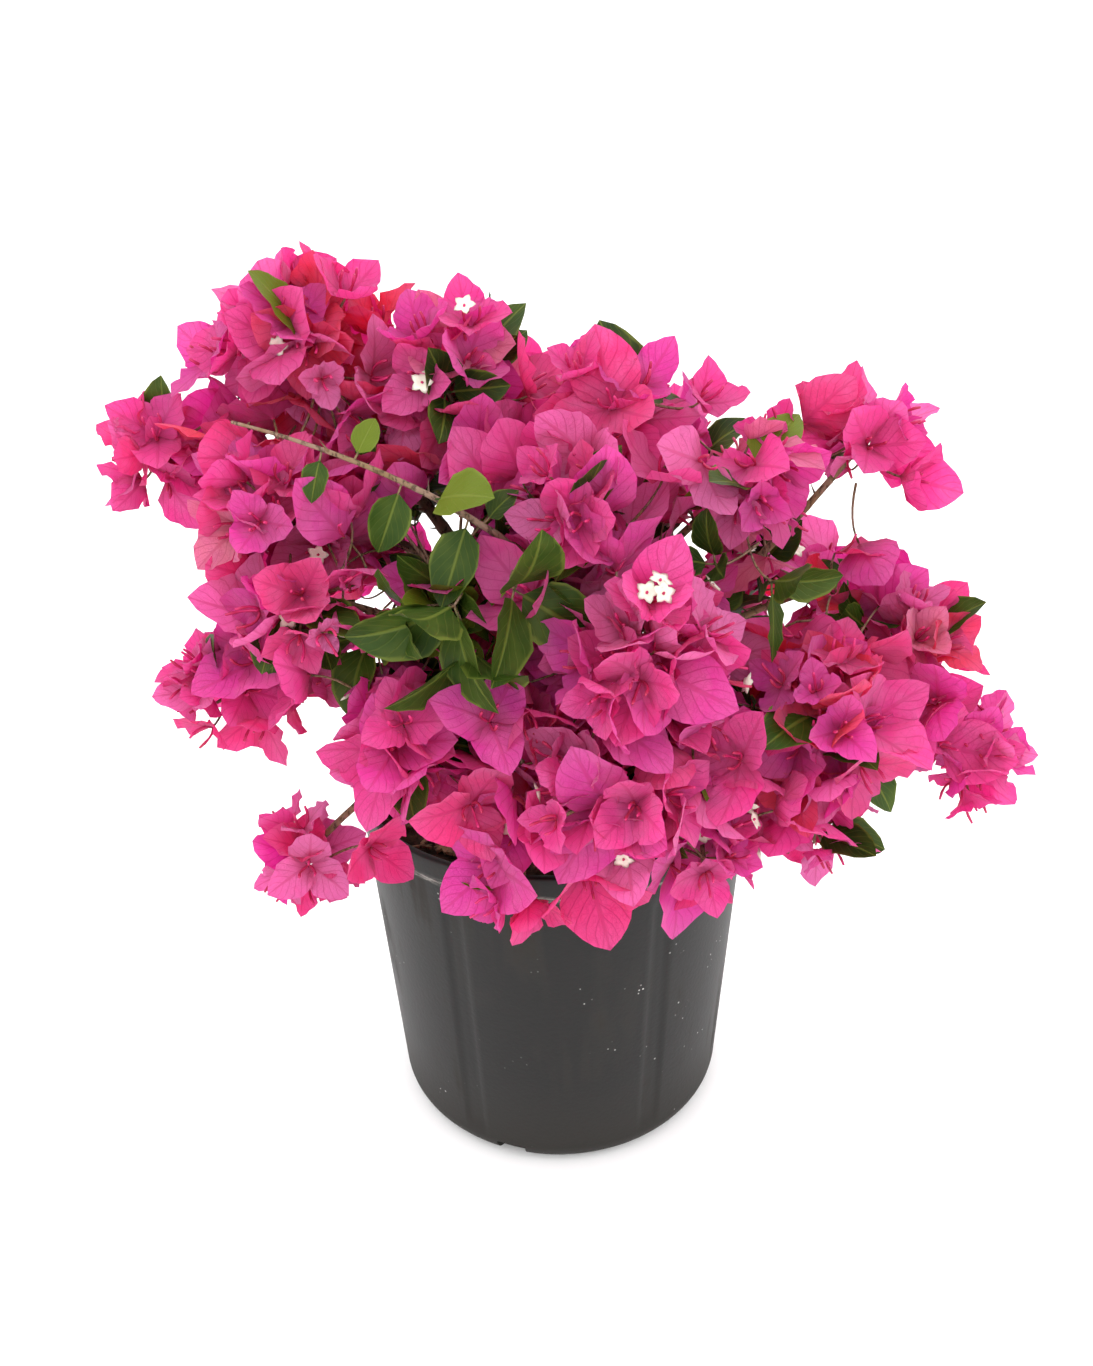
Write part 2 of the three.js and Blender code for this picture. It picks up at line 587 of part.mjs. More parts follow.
// Everything that grows in a mass: the first attempt at each item that finds room is kept.
function growMass(mass, limbs, pieces) {
  const hasRoom = roomOf(mass, pieces);
  const { curve } = limbs.get("bough_" + mass.name);
  const start = curve.v2.clone().addScaledVector(curve.getTangent(1), GAP);
  const hub = mass.centre.clone().lerp(start, HUB_SHARE);
  const stem = new THREE.Line3(start, hub);
  const sprays = [];
  const leaves = [];
  let grown = { lines: [[start, hub]], sheets: [] };
  const firstThatFits = (sprout, fits) => {
    for (let attempt = 0; attempt < TRIES; attempt += 1) {
      const found = sprout(attempt);
      if (fits(found)) return [found];
    }
    return [];
  };

  const sprayFits = (spray) => {
    const { root, node, blades } = spray;
    if (!spray.fits || sprays.some((other) => other.node.distanceTo(node) < SPRAY_SPACING)) return false;
    const twig = [0, 1, 2, 3, 4, 5, 6, 7, 8].map((step) => root.clone().lerp(node, step / 8));
    if (!hasRoom(twig, TWIG_MARGIN)) return false;
    if (!blades.every((blade) => hasRoom(bladeSamples(blade), LIMB_MARGIN))) return false;
    const fresh = joined(blades.map((blade) => outlineOf(blade)));
    if (anyCut([[root, node]], grown.sheets) || tangles(fresh, grown)) return false;
    grown = joined([grown, fresh, { lines: [[root, node]], sheets: [] }]);
    return true;
  };
  for (let item = 0; item < mass.sprays; item += 1) {
    sprays.push(...firstThatFits((attempt) => sproutSpray(mass, stem, item, attempt), sprayFits));
  }

  const leafFits = (leaf) => {
    if (!hasRoom(bladeSamples(leaf), LIMB_MARGIN)) return false;
    const fresh = outlineOf(leaf, LEAF_STALK / leaf.length);
    if (tangles(fresh, grown)) return false;
    grown = joined([grown, fresh]);
    return true;
  };
  for (let item = 0; item < mass.leaves; item += 1) {
    leaves.push(...firstThatFits((attempt) => sproutLeaf(mass, sprays, 500 + item, attempt), leafFits));
  }
  return { stem, sprays, leaves };
}

function makeFoliage(mass, limbs, pieces) {
  const { stem, sprays, leaves } = growMass(mass, limbs, pieces);
  const parts = [stemSolid(stem), ...sprays.map(spraySolid), ...leaves.map(leafSolid)];
  const finish = mass.shoots > mass.sprays / 2 ? "leafy" : "bloom";
  return meshOf("foliage_" + mass.name, mainBody(wasm.Manifold.union(parts)), finish, mass.centre);
}

// The limbs, each cut clear of every limb before it.
function makeLimbs(limbs) {
  const made = [];
  const swollen = [];
  for (const [name, limb] of limbs) {
    let solid = limbSolid(limb);
    for (const other of swollen) {
      solid = solid.subtract(other);
    }
    swollen.push(limbSolid(limb, GAP));
    made.push(meshOf(name, mainBody(solid), name === "trunk" ? "bark" : "cane"));
  }
  return made;
}

const limbs = planLimbs();
const pieces = limbPieces(limbs);

const wood = new THREE.Group();
wood.add(...makeLimbs(limbs));

const foliage = new THREE.Group();
foliage.add(...MASSES.map((mass) => makeFoliage(mass, limbs, pieces)));

const bush = new THREE.Group();
bush.add(makePot(), makeSoil(), wood, foliage);

export default bush;
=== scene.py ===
"""The finish of a bougainvillea bush in its black nursery pot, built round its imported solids.

The solids give the pot, the limbs and the coarse sprays of the crown. This script grows the same crown
by the same seeded rule, carries it on to finer twigs, and gives every piece its real outline and finish.
Shapes are worked out in millimetres and put into the meshes in metres.
"""

import json
import math
from dataclasses import dataclass, field
from functools import lru_cache, partial

import bpy
import numpy as np
from bpy.props import FloatProperty, FloatVectorProperty, IntProperty, PointerProperty
from mathutils import Matrix, Vector

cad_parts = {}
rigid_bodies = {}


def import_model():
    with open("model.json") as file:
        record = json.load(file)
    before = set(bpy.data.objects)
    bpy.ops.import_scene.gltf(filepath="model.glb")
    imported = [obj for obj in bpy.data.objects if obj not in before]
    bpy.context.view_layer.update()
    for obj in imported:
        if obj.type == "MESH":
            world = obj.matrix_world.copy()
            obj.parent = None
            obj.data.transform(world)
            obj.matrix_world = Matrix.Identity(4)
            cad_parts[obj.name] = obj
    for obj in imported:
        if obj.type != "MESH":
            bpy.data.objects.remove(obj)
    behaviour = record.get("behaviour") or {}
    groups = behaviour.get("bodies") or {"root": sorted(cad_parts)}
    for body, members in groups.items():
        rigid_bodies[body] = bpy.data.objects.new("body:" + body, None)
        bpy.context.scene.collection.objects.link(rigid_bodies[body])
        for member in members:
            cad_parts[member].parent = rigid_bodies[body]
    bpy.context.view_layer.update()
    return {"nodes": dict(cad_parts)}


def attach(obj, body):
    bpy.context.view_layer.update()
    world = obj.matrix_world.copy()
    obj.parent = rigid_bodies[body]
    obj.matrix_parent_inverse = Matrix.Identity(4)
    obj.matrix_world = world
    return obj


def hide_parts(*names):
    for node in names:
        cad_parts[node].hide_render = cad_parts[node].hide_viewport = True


bl_info = {
    "name": "Potted Bougainvillea",
    "version": (1, 0, 0),
    "blender": (4, 5, 0),
    "location": "View3D > Sidebar > Bougainvillea",
    "description": "Finishes a bougainvillea bush and its nursery pot piece by piece",
    "category": "Object",
}

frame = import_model()

MM = 0.001
GAP = 0.3

# The mixing of keys into a chance: where it starts, what it multiplies by and shifts by, and its span
MIX_START = 0x9E3779B9
MIX_STEPS = ((0x85EBCA6B, 13), (0xC2B2AE35, 16))
MIX_SPAN = 2**32

# Pot: the sizes of its solid
POT_HEIGHT = 240
POT_RIM_RADIUS = 127
POT_FOOT_RADIUS = 111.7
POT_CORNER = 17
POT_WALL = 2.5
POT_FLOOR = 3
BAND_HEIGHT = 17
BAND_STEP = 2.5
CHANNELS = 6
CHANNEL_WIDTH = 12.5
CHANNEL_DEPTH = 1.2
CHANNEL_EASE = 1.6
CHANNEL_END = 4
CHANNEL_BOTTOM = 20
CHANNEL_TOP = 212
DRAIN_HOLES = 4
DRAIN_ANGLE = -108
DRAIN_HALF_ANGLE = 5
POT_STATIONS = 360
WALL_ROWS = 42
CORNER_STEPS = 30
DRAIN_FIRST_STEP = 7
DRAIN_LAST_STEP = 27

# Soil: its lumps are layers of smooth noise, each with its size, shift, seed and share of the height.
# The noise repeats only after more steps than any piece has.
SOIL_TOP = 215
SOIL_STATIONS = 144
SOIL_RINGS = 62
SOIL_LUMPS = ((28, 40, 31, 0.5), (9, 40, 32, 0.3), (3.5, 80, 33, 0.35))
NO_REPEAT = 1000
CHIP_SEED = 77

# Trunk and boughs: the sizes of their solids
TRUNK_FOOT = np.array([4, -6, SOIL_TOP + GAP])
TRUNK_HEAD = np.array([8.0, 4, 288])
TRUNK_FLARE_RADIUS = 17
TRUNK_RADIUS = 10
TRUNK_HEAD_RADIUS = 8.5
MAIN_BOUGH = (5.2, 2.4)
SIDE_BOUGH = (3, 1.9)
LIMB_STEPS = 6
BOUGH_ENTERS_MASS = 0.5
RING_STEP = 1.6
FEWEST_RINGS = 12
LIMB_SWAY = 0.9
SWAY_STEP = 34
COLLAR_SWELL = 0.3
BARK_NODE_STEP = 23
BARK_NODE_SWELL = 0.09
BARK_NODE_HALF = 2.2
TRUNK_SIDES = 48
TRUNK_RELIEF = 0.07
TRUNK_SEED = 900
CANE_SIDES = 16
CANE_RELIEF = 0.035
CANE_SEED = 300
ROOT_RISE = 24
ROOT_RIDGES = 4
THORN_STEP = 24
THORN_RADIUS = 0.8

# Masses: the rule by which sprays grow round a stem
CROWN_CORE = np.array([5.0, 20, 330])
STEM_RADIUS = 1.9
SHORTEST_TWIG = 7
TWIG_TO_AXIS_LEAST = 0.35
HUB_SHARE = 0.12
BRACT_LENGTH = 48
BRACT_SHARE_OF_REACH = 0.86
SOLID_BRACT_WIDTH_SHARE = 0.96
BRACT_SHRINK = 0.16
BRACT_OPEN_LEAST = 38
BRACT_OPEN_MOST = 66
LEAF_LENGTH = 52
SOLID_LEAF_WIDTH_SHARE = 0.7
LEAF_STALK = 2.5
BLADE_WIDEST = 0.42
BLADE_FOLD = 4
SPRAY_SPACING = 13
SPRAY_DEPTH_LEAST = 0.8
SPRAY_DEPTH_SPREAD = 0.19
TWIG_ROOT_LEAST = 0.35
TOWARDS_LIGHT = np.array([0, -0.2, 0.25])
WHORL_SHAKE = 0.35
TRY_SHRINK = 0.012
SPIN_KEY = 997
LEAF_KEY = 500
LEAF_ROOT_LEAST = 0.25
LEAF_ROOT_SPREAD = 0.55
LEAF_SMALLEST = 0.75
LEAF_TRY_SHRINK = 0.008
LEAF_SKY = np.array([0, -0.5, 1])
BACKMOST = -0.75
TRIES = 60
GOLDEN_ANGLE = math.pi * (3 - math.sqrt(5))
CELL_MARGIN = 1.2
LIMB_MARGIN = 2.4
TWIG_MARGIN = 1.8
POT_MARGIN = 4.5

# Each mass: its name, centre, reach, sprays, how many of them are leafy shoots, loose leaves and seed,
# then the limb that its bough leaves, how far along that limb, and how the bough bends on its way.
MASS_ROWS = [
    ("upper_left", (-128, -20, 507), 61, 12, 0, 1, 6, "trunk", 1, (0, 0, 10)),
    ("top", (-53, -30, 491), 58, 9, 2, 1, 1011, "trunk", 0.97, (0, 0, 5)),
    ("upper_right", (39, -55, 475), 56, 9, 1, 1, 14, "trunk", 0.93, (0, 0, 5)),
    ("right_upper", (194, -70, 349), 53, 8, 1, 1, 1014, "trunk", 0.9, (0, 0, 25)),
    ("front", (46, -140, 381), 58, 10, 0, 1, 11, "trunk", 0.86, (0, 0, 20)),
    ("front_left", (-73, -120, 327), 58, 9, 1, 1, 16, "trunk", 0.82, (0, 0, 25)),
    ("left_tip", (-207, -30, 454), 46, 6, 0, 1, 3, "bough_top", 0.35, (0, -10, 14)),
    ("left_shoulder", (-143, -80, 437), 52, 7, 0, 1, 1008, "bough_upper_left", 0.35, (0, 0, -5)),
    ("left_middle", (-126, -100, 401), 48, 6, 1, 1, 1002, "bough_front_left", 0.2, (0, 0, 20)),
    ("left_low", (-174, -85, 340), 46, 5, 0, 1, 7, "bough_front_left", 0.35, (0, 0, 15)),
    ("low_left_tip", (-140, -105, 247), 41, 4, 0, 1, 1003, "bough_front_left", 0.5, (0, 0, 14)),
    ("centre", (23, -100, 439), 52, 7, 1, 1, 11, "bough_upper_right", 0.45, (0, 0, -5)),
    ("right_shoulder", (103, -70, 450), 48, 6, 1, 1, 1013, "bough_upper_right", 0.35, (0, 0, -5)),
    ("right_spray", (171, -30, 452), 48, 6, 0, 1, 6, "bough_right_upper", 0.25, (0, -10, 0)),
    ("front_skirt", (28, -150, 310), 57, 10, 1, 1, 1006, "bough_front", 0.35, (0, 0, 5)),
    ("front_rim", (-18, -148, 255), 40, 4, 0, 1, 1014, "bough_front_left", 0.28, (0, 0, 18)),
    ("right_front", (144, -120, 327), 62, 11, 1, 1, 2, "bough_right_upper", 0.4, (0, 0, 6)),
    ("right_tip", (235, -85, 291), 43, 4, 0, 1, 6, "bough_right_upper", 0.6, (0, 0, 12)),
    ("low_right", (78, -145, 270), 42, 4, 0, 1, 1012, "bough_front", 0.25, (0, 0, 25)),
    ("low_right_tip", (146, -110, 258), 41, 4, 1, 1, 3, "bough_right_upper", 0.3, (0, 0, 15)),
    ("leafy_left", (-51, -85, 395), 57, 8, 6, 2, 2, "bough_front", 0.2, (0, 0, 5)),
    ("back_low", (5, 152, 345), 64, 8, 2, 2, 7, "trunk", 0.9, (0, 0, 30)),
    ("back_left", (-152, 75, 395), 62, 8, 2, 2, 1, "bough_upper_left", 0.3, (0, 0, 5)),
    ("back_top", (-20, 68, 445), 62, 8, 2, 2, 1009, "bough_top", 0.4, (0, 0, 5)),
    ("back_right_top", (88, 80, 412), 60, 8, 2, 2, 1010, "bough_upper_right", 0.25, (0, 0, 5)),
    ("back_right", (182, 60, 335), 60, 8, 2, 2, 1004, "bough_right_upper", 0.2, (0, 0, 10)),
    ("back_low_left", (-112, 142, 305), 62, 8, 2, 2, 1002, "bough_back_low", 0.25, (0, 0, 10)),
    ("back_low_right", (125, 142, 300), 58, 8, 2, 2, 1013, "bough_back_low", 0.3, (0, 0, 10)),
]

# Masses whose sprays lean to another tint than magenta, and the share of them that have it
TINTED_MASSES = {
    "right_upper": ("coral", 0.3),
    "upper_left": ("coral", 0.14),
    "right_front": ("coral", 0.12),
    # The faded bracts on the top masses are partly old bracts and partly painted highlight, paler where
    # light falls from above.
    "top": ("faded", 0.2),
    "right_shoulder": ("faded", 0.25),
    "low_right": ("rose", 0.35),
    "front": ("rose", 0.2),
}

TINTS = ("magenta", "fuchsia", "pink", "rose", "coral", "faded")
TINT_LIMITS = (("rose", 0.1), ("faded", 0.12), ("coral", 0.13), ("fuchsia", 0.45), ("pink", 0.62))
USUAL_TINT = ("rose", 0.08)

# Finer growth inside each mass: the counts hold for a mass of the usual reach, and for others go with
# the square of theirs
USUAL_REACH = 55
FINE_KEY = 2000
FINE_LEAF_KEY = 4000
FINE_SPACING = 12
FINE_DEPTH_LEAST = 0.2
FINE_DEPTH_MOST = 0.9
FINE_WOBBLE = 1.6
FINE_TRIES = 24
FINE_SIZE = 0.94
FINE_LEAFY_SHARE = 0.75
FINE_LEAVES_LEAST = 0.12
FINE_LEAVES_BY_SHOOTS = 2.4
FINE_TWIG = (0.8, 0.6)
COARSE_TWIG = (1.3, 0.85)
TWIG_SIDES = 6
TWIG_RINGS = 7

# Growth beside the boughs and between the masses, which keeps where their soft spheres add up
SIDE_KEY = 8000
SIDE_SPRAY_STEP = 12
SIDE_SPRAYS_FROM = 0.3
SIDE_LEAFY_SHARE = 0.6
SIDE_TWIG_LEAST = 12
SIDE_TWIG_SPREAD = 16
SIDE_SPIN_KEY = 998
BARE_BOUGHS = ("right_spray", "right_tip")
BETWEEN_KEY = 10000
BETWEEN_LEAST = 0.65
BETWEEN_MOST = 1.35
BETWEEN_WOBBLE = 1.0
BETWEEN_LEAFY_LEAST = 0.03
BETWEEN_LEAFY_SHARE = 0.6
DENSITY_FALL = 1.6
DENSITY_LEAST = 0.23

# Places where the photograph shows sky beside the masses, and points on the lines of sight along which
# it shows sky between them, each with its reach
OPEN_PLACES = [
    ((162, -62, 412), 18),
    ((108, -50, 472), 20),
    ((-134, -100, 304), 20),
    ((-160, -98, 298), 22),
    ((-190, -80, 418), 16),
    ((-215, -45, 384), 32),
    ((195, -110, 266), 24),
    ((166, -115, 229), 22),
    ((116, -140, 236), 16),
]
OPEN_LINES = [
    ((-51, -110, 436), 12),
    ((74, -75, 416), 11),
    ((123, -100, 391), 11),
    ((97, -80, 489), 9),
    ((-124, -98, 331), 8),
    ((202, -100, 265), 12),
    ((-89, -110, 402), 8),
    ((161, -45, 426), 14),
    ((185, -45, 418), 12),
    ((-220, -40, 411), 14),
    ((-198, -85, 303), 8),
    ((90, -60, 478), 9),
    ((146, -45, 411), 7),
    ((166, -45, 408), 7),
]

# Places to fill: dips between the outer masses where the photograph shows blossom, and the crown's middle
FULL_PLACES = [
    ((-81, -25, 508), 26),
    ((-165, -20, 497), 26),
    ((-118, -118, 262), 22),
    ((30, -158, 256), 24),
    ((5, 20, 380), 75),
    ((95, 0, 365), 55),
    ((-80, 25, 375), 55),
]

# Places where what grows is leafy: in front as the photograph shows it, and in the middle of the crown
LEAFY_PLACES = [
    ((-45, -105, 468), 28),
    ((-48, -135, 392), 34),
    ((-20, -138, 408), 20),
    ((104, -105, 412), 26),
    ((90, -165, 362), 12),
    ((119, -150, 277), 16),
    ((5, 20, 370), 72),
    ((90, 0, 360), 50),
    ((-80, 25, 370), 45),
]

# Sprays set where the photograph shows them: the twig's tip, the way it points, whether it is in bloom,
# in bloom with open flowers or leafy, and its size beside the usual one. Others keep clear of the tips.
PLACED_KEY = 14000
PLACED_CLEARANCE = 15
PLACED_SPRAYS = [
    ((-33, -150, 266), (-0.4, -0.7, 0.1), "bloom", 0.92),
    ((16, -150, 262), (0.1, -0.7, -0.3), "bloom", 0.95),
    ((60, -150, 264), (0.5, -0.6, -0.1), "bloom", 0.95),
    ((-8, -152, 292), (0.3, -0.6, 0.5), "bloom", 0.85),
    ((36, -156, 284), (-0.3, -0.9, 0.1), "open", 0.8),
    ((-102, -118, 258), (0.5, -0.5, 0.1), "bloom", 0.75),
    ((-17, -134, 414), (0.4, -0.7, -0.2), "leafy", 1.0),
    ((-46, -138, 408), (-0.4, -0.6, -0.4), "leafy", 1.05),
    ((-40, -138, 384), (0.1, -0.6, -0.6), "leafy", 0.9),
    ((-70, -124, 400), (-0.6, -0.5, -0.1), "leafy", 0.6),
    ((112, -106, 404), (0.6, -0.5, -0.2), "leafy", 0.75),
    ((84, -100, 412), (-0.5, -0.5, 0.5), "leafy", 0.6),
    ((45, -164, 418), (0.2, -0.7, 0.8), "open", 0.75),
    ((-172, -28, 504), (-0.6, -0.5, 0.5), "bloom", 0.7),
    ((-100, -35, 536), (0.3, -0.4, 0.8), "bloom", 0.65),
    ((-37, -40, 521), (0.1, -0.5, 0.8), "bloom", 0.65),
    ((17, -60, 498), (-0.2, -0.5, 0.8), "bloom", 0.55),
    ((49, -60, 493), (0.1, -0.5, 0.8), "bloom", 0.7),
    ((78, -60, 484), (0.4, -0.5, 0.6), "bloom", 0.6),
    ((119, -45, 463), (-0.3, -0.5, 0.7), "bloom", 0.5),
    ((191, -40, 437), (0.6, -0.6, 0.0), "bloom", 0.8),
    ((-157, -96, 330), (-0.2, -0.8, -0.4), "bloom", 0.65),
]

# The thorny cane that lies in front of the upper left masses, and its leaves
FRONT_CANE = ((-2, -102, 413), (-63, -126, 472), (-153, -86, 486))
FRONT_CANE_RADII = (2.0, 0.8)
FRONT_CANE_LEAVES = 7
FRONT_CANE_KEY = 12000
FRONT_CANE_SEED = 5

# Blades: their grid of points, and how bracts and leaves differ. Lengths are in millimetres, the rest are
# shares: of the rule's length, of the blade's own length, or of its width. A spread is shared out by seed.
BLADE_STATIONS = 7
BLADE_COLUMNS = 5
BRACT_LOOK = {
    "stalk": 0.5,
    "share": 1.0,
    "shrink": 0.2,
    "fullness": 0.54,
    "point": 0.84,
    "bow": -0.03,
    "bow_spread": 0.22,
    "cup": 0.22,
    "cup_spread": 0.5,
    "wave": 2.1,
    "thickness": 0.4,
}
LEAF_LOOK = {
    "stalk": 5.0,
    "share": 1.1,
    "shrink": 0.1,
    "fullness": 0.52,
    "point": 0.8,
    "bow": 0.05,
    "bow_spread": 0.12,
    "cup": 0.22,
    "cup_spread": 0.3,
    "wave": 1.0,
    "thickness": 0.5,
}
BLADE_DRAW_KEY = 70
VEIN_PAIRS = 6
LEAF_TINT_KEY = 6000
LEAF_TINT_LIMITS = (("leaf_dark", 0.35), ("leaf", 0.82))

# Finishes: how many of a mark go to a metre, how high its relief is in metres, and the share of the light
# that goes through a blade
# The bracts' paler blotches are partly their own fading and partly painted highlight.
BRACT_BLOTCHES = 42.0
BRACT_CRINKLES = 420.0
BRACT_CRUMPLES = 110.0
BRACT_GLOW = 0.64
LEAF_BLOTCHES = 60.0
LEAF_GLOW = 0.15
BLADE_RELIEF = 0.0006
POT_SMUDGES = 9.0
POT_STREAKS = 70.0
POT_SCUFFS = 90.0
POT_SPECKS = 210.0
POT_GRAIN = 380.0
FINE_RELIEF = 0.0003
SCUFF_ABOVE_EDGE = 0.0012
SCUFF_REACH = 0.0045
SOIL_CRUMBS = 160.0
SOIL_PATCHES = 34.0
SOIL_RELIEF = 0.003
BARK_RELIEF = 0.0009
SMALL_MOTTLES = 120.0

# Flowers
STAR_SUNK = 0.7
STAR_STATIONS = 20
STAR_POINTS = 5
TUBE_SWELL = (0.5, 0.85, 0.75, 0.65, 0.9, 0.65)

# The stage: the floor's half width in metres, the sky's strength, and each lamp's place, size and power
FLOOR_REACH = 6.0
SKY_STRENGTH = 1.74
LAMP_AIM = Vector((0, 0, 0.3))
LAMPS = {
    "key_light": ((-0.7, -1.2, 1.9), 1.2, 4.5),
    "fill_light": ((1.3, -0.9, 1.2), 1.4, 5),
    "back_light": ((0.2, 1.6, 1.8), 1.4, 12),
}

# The photograph's view: its height in pixels, its lens in them, where the camera stands and what it faces
FRAME_HEIGHT = 1366
FOCAL_PIXELS = 1180
CAMERA_PLACE = Vector((0, -0.66267, 0.62257))
CAMERA_TARGET = Vector((0, 0, 0.282))
CAMERA_ROLL = math.radians(-1.39)
CAMERA_SHIFT_RIGHT = 6
CAMERA_SHIFT_DOWN = 23


def linear(red, green, blue):
    """A colour as scene light from its screen values of 0 to 255, by the usual screen curve."""
    shares = [value / 255 for value in (red, green, blue)]
    return tuple(s / 12.92 if s <= 0.04045 else ((s + 0.055) / 1.055) ** 2.4 for s in shares)


def unit(vectors):
    """Each vector divided by its own length."""
    return vectors / np.linalg.norm(vectors, axis=-1, keepdims=True)


def across(axis):
    """Two directions square to an axis and to each other, for one axis or for many."""
    axis = np.asarray(axis, float)
    steep = np.abs(axis[..., 2:3]) >= 0.8
    reference = np.where(steep, (1.0, 0, 0), (0, 0, 1.0))
    first = unit(np.cross(reference, axis))
    return first, np.cross(axis, first)


def chance(*keys):
    """A number from 0 to 1 that depends only on its whole-number keys."""
    mixed = MIX_START
    for key in keys:
        mixed ^= key
        for factor, shift in MIX_STEPS:
            mixed = mixed * factor % MIX_SPAN
            mixed ^= mixed >> shift
    return mixed / MIX_SPAN


def chances(*keys):
    """The same as chance, for whole arrays of keys at once."""
    mixed = np.uint64(MIX_START)
    for key in keys:
        mixed = mixed ^ np.asarray(key).astype(np.uint64)
        for factor, shift in MIX_STEPS:
            mixed = mixed * np.uint64(factor) % np.uint64(MIX_SPAN)
            mixed = mixed ^ (mixed >> np.uint64(shift))
    return mixed.astype(float) / MIX_SPAN


def soft_noise(x, y, seed, period):
    """Smooth noise from -1 to 1: random heights at whole numbers, eased between them, repeating along x."""
    column = np.floor(x).astype(int)
    row = np.floor(y).astype(int)
    ease_x = x - column
    ease_y = y - row
    ease_x = ease_x * ease_x * (3 - 2 * ease_x)
    ease_y = ease_y * ease_y * (3 - 2 * ease_y)

    def height(dx, dy):
        """The random heights at one corner of the cells."""
        return chances(seed, (column + dx) % period, row + dy + 1000)

    low = height(0, 0) * (1 - ease_x) + height(1, 0) * ease_x
    high = height(0, 1) * (1 - ease_x) + height(1, 1) * ease_x
    return 2 * (low * (1 - ease_y) + high * ease_y) - 1


# How the bush grows


@dataclass
class Limb:
    """A tapering limb along a quadratic curve, whose base may flare into the roots."""

    start: np.ndarray
    middle: np.ndarray
    end: np.ndarray
    base: float
    tip: float
    flare: float = 0

    def point(self, along):
        """The curve's points at shares of its way."""
        along = np.asarray(along, float)[..., None]
        spare = 1 - along
        return spare**2 * self.start + 2 * along * spare * self.middle + along**2 * self.end

    def radius(self, along):
        """A straight taper, plus the flare by a power of the way left."""
        return self.base + (self.tip - self.base) * along + self.flare * (1 - along) ** 6

    def length(self):
        """The curve's length in millimetres, by short straight steps."""
        return np.linalg.norm(np.diff(self.point(np.linspace(0, 1, 20)), axis=0), axis=1).sum()


@dataclass
class Mass:
    """One mass of foliage, as its row in the table gives it."""

    name: str
    centre: np.ndarray
    reach: float
    sprays: int
    shoots: int
    leaves: int
    seed: int
    parent: str
    along: float
    bend: np.ndarray


@dataclass
class Blade:
    """A bract or leaf: where it is rooted, the way it points, the way its face looks, and its size."""

    root: np.ndarray
    along: np.ndarray
    face: np.ndarray
    length: float
    width: float

    def point(self, lengthwise, crosswise):
        """Points of the solids' plain blade: pointed at both ends and folded up from its midrib."""
        rising = lengthwise / BLADE_WIDEST
        falling = (1 - lengthwise) / (1 - BLADE_WIDEST)
        narrow = np.where(lengthwise < BLADE_WIDEST, rising, falling)
        side = np.cross(self.along, self.face)
        out = self.root + (lengthwise * self.length)[..., None] * self.along
        out = out + (crosswise * narrow * self.width / 2)[..., None] * side
        return out + (np.abs(crosswise) * narrow * BLADE_FOLD)[..., None] * self.face


@dataclass
class Spray:
    """A twig and the three blades round its tip."""

    root: np.ndarray
    node: np.ndarray
    axis: np.ndarray
    blades: list
    shoot: bool
    fits: bool
    key: tuple
    in_flower: bool = False


@dataclass
class Growth:
    """What has grown in one mass."""

    mass: Mass
    stem: tuple
    sprays: list = field(default_factory=list)
    leaves: list = field(default_factory=list)


def plan_masses():
    """The masses from their rows, with each centre and bend as an array."""
    rows = [(name, np.array(centre, float), rest) for name, centre, *rest in MASS_ROWS]
    return [Mass(name, centre, *rest, np.array(bend, float)) for name, centre, (*rest, bend) in rows]


def plan_limbs(masses):
    """The trunk, then each mass's bough from its parent limb to where it enters the mass."""
    rise = np.array([TRUNK_FOOT[0], TRUNK_FOOT[1], (TRUNK_FOOT[2] + TRUNK_HEAD[2]) / 2])
    flare = TRUNK_FLARE_RADIUS - TRUNK_RADIUS
    limbs = {"trunk": Limb(TRUNK_FOOT, rise, TRUNK_HEAD, TRUNK_RADIUS, TRUNK_HEAD_RADIUS, flare)}
    for mass in masses:
        base, tip = MAIN_BOUGH if mass.parent == "trunk" else SIDE_BOUGH
        start = limbs[mass.parent].point(mass.along)
        middle = (start + mass.centre) / 2 + mass.bend
        end = mass.centre + unit(middle - mass.centre) * mass.reach * BOUGH_ENTERS_MASS
        limbs["bough_" + mass.name] = Limb(start, middle, end, base, tip)
    return limbs


def limb_pieces(limbs):
    """Short straight pieces of every limb: their two ends and their radius."""
    steps = np.linspace(0, 1, LIMB_STEPS + 1)
    near = np.concatenate([limb.point(steps[:-1]) for limb in limbs.values()])
    far = np.concatenate([limb.point(steps[1:]) for limb in limbs.values()])
    radii = [np.maximum(limb.radius(steps[:-1]), limb.radius(steps[1:])) for limb in limbs.values()]
    return near, far, np.concatenate(radii)


def off_pot(points):
    """Whether every point is above the pot's rim or out beyond it."""
    over_rim = points[:, 2] >= POT_HEIGHT + POT_MARGIN
    beside = np.hypot(points[:, 0], points[:, 1]) >= POT_RIM_RADIUS + POT_MARGIN
    return bool((over_rim | beside).all())


def room_of(mass, masses, pieces):
    """A test of whether points keep to a mass's own space, clear of the pot and of every limb."""
    others = [other for other in masses if other is not mass]
    centres = np.array([other.centre for other in others])
    reaches = np.array([other.reach for other in others])
    apart = np.linalg.norm(centres - mass.centre, axis=1)
    near, far, radius = pieces
    span = np.linalg.norm(far - near, axis=1)
    close = np.linalg.norm((near + far) / 2 - mass.centre, axis=1) < mass.reach + span / 2 + radius + 5
    near, far, radius = near[close], far[close], radius[close]
    run = far - near

    def has_room(points, margin):
        """Whether all the points have room, with this margin to the limbs."""
        own = ((points - mass.centre) ** 2).sum(-1) - mass.reach**2
        if (own > 0).any() or not off_pot(points):
            return False
        theirs = ((points[:, None] - centres) ** 2).sum(-1) - reaches**2
        if (theirs - own[:, None] < 2 * CELL_MARGIN * apart).any():
            return False
        offset = points[:, None] - near
        share = np.clip((offset * run).sum(-1) / (run * run).sum(-1), 0, 1)
        distance = np.linalg.norm(offset - share[..., None] * run, axis=-1)
        return bool((distance >= radius + margin).all())

    return has_room


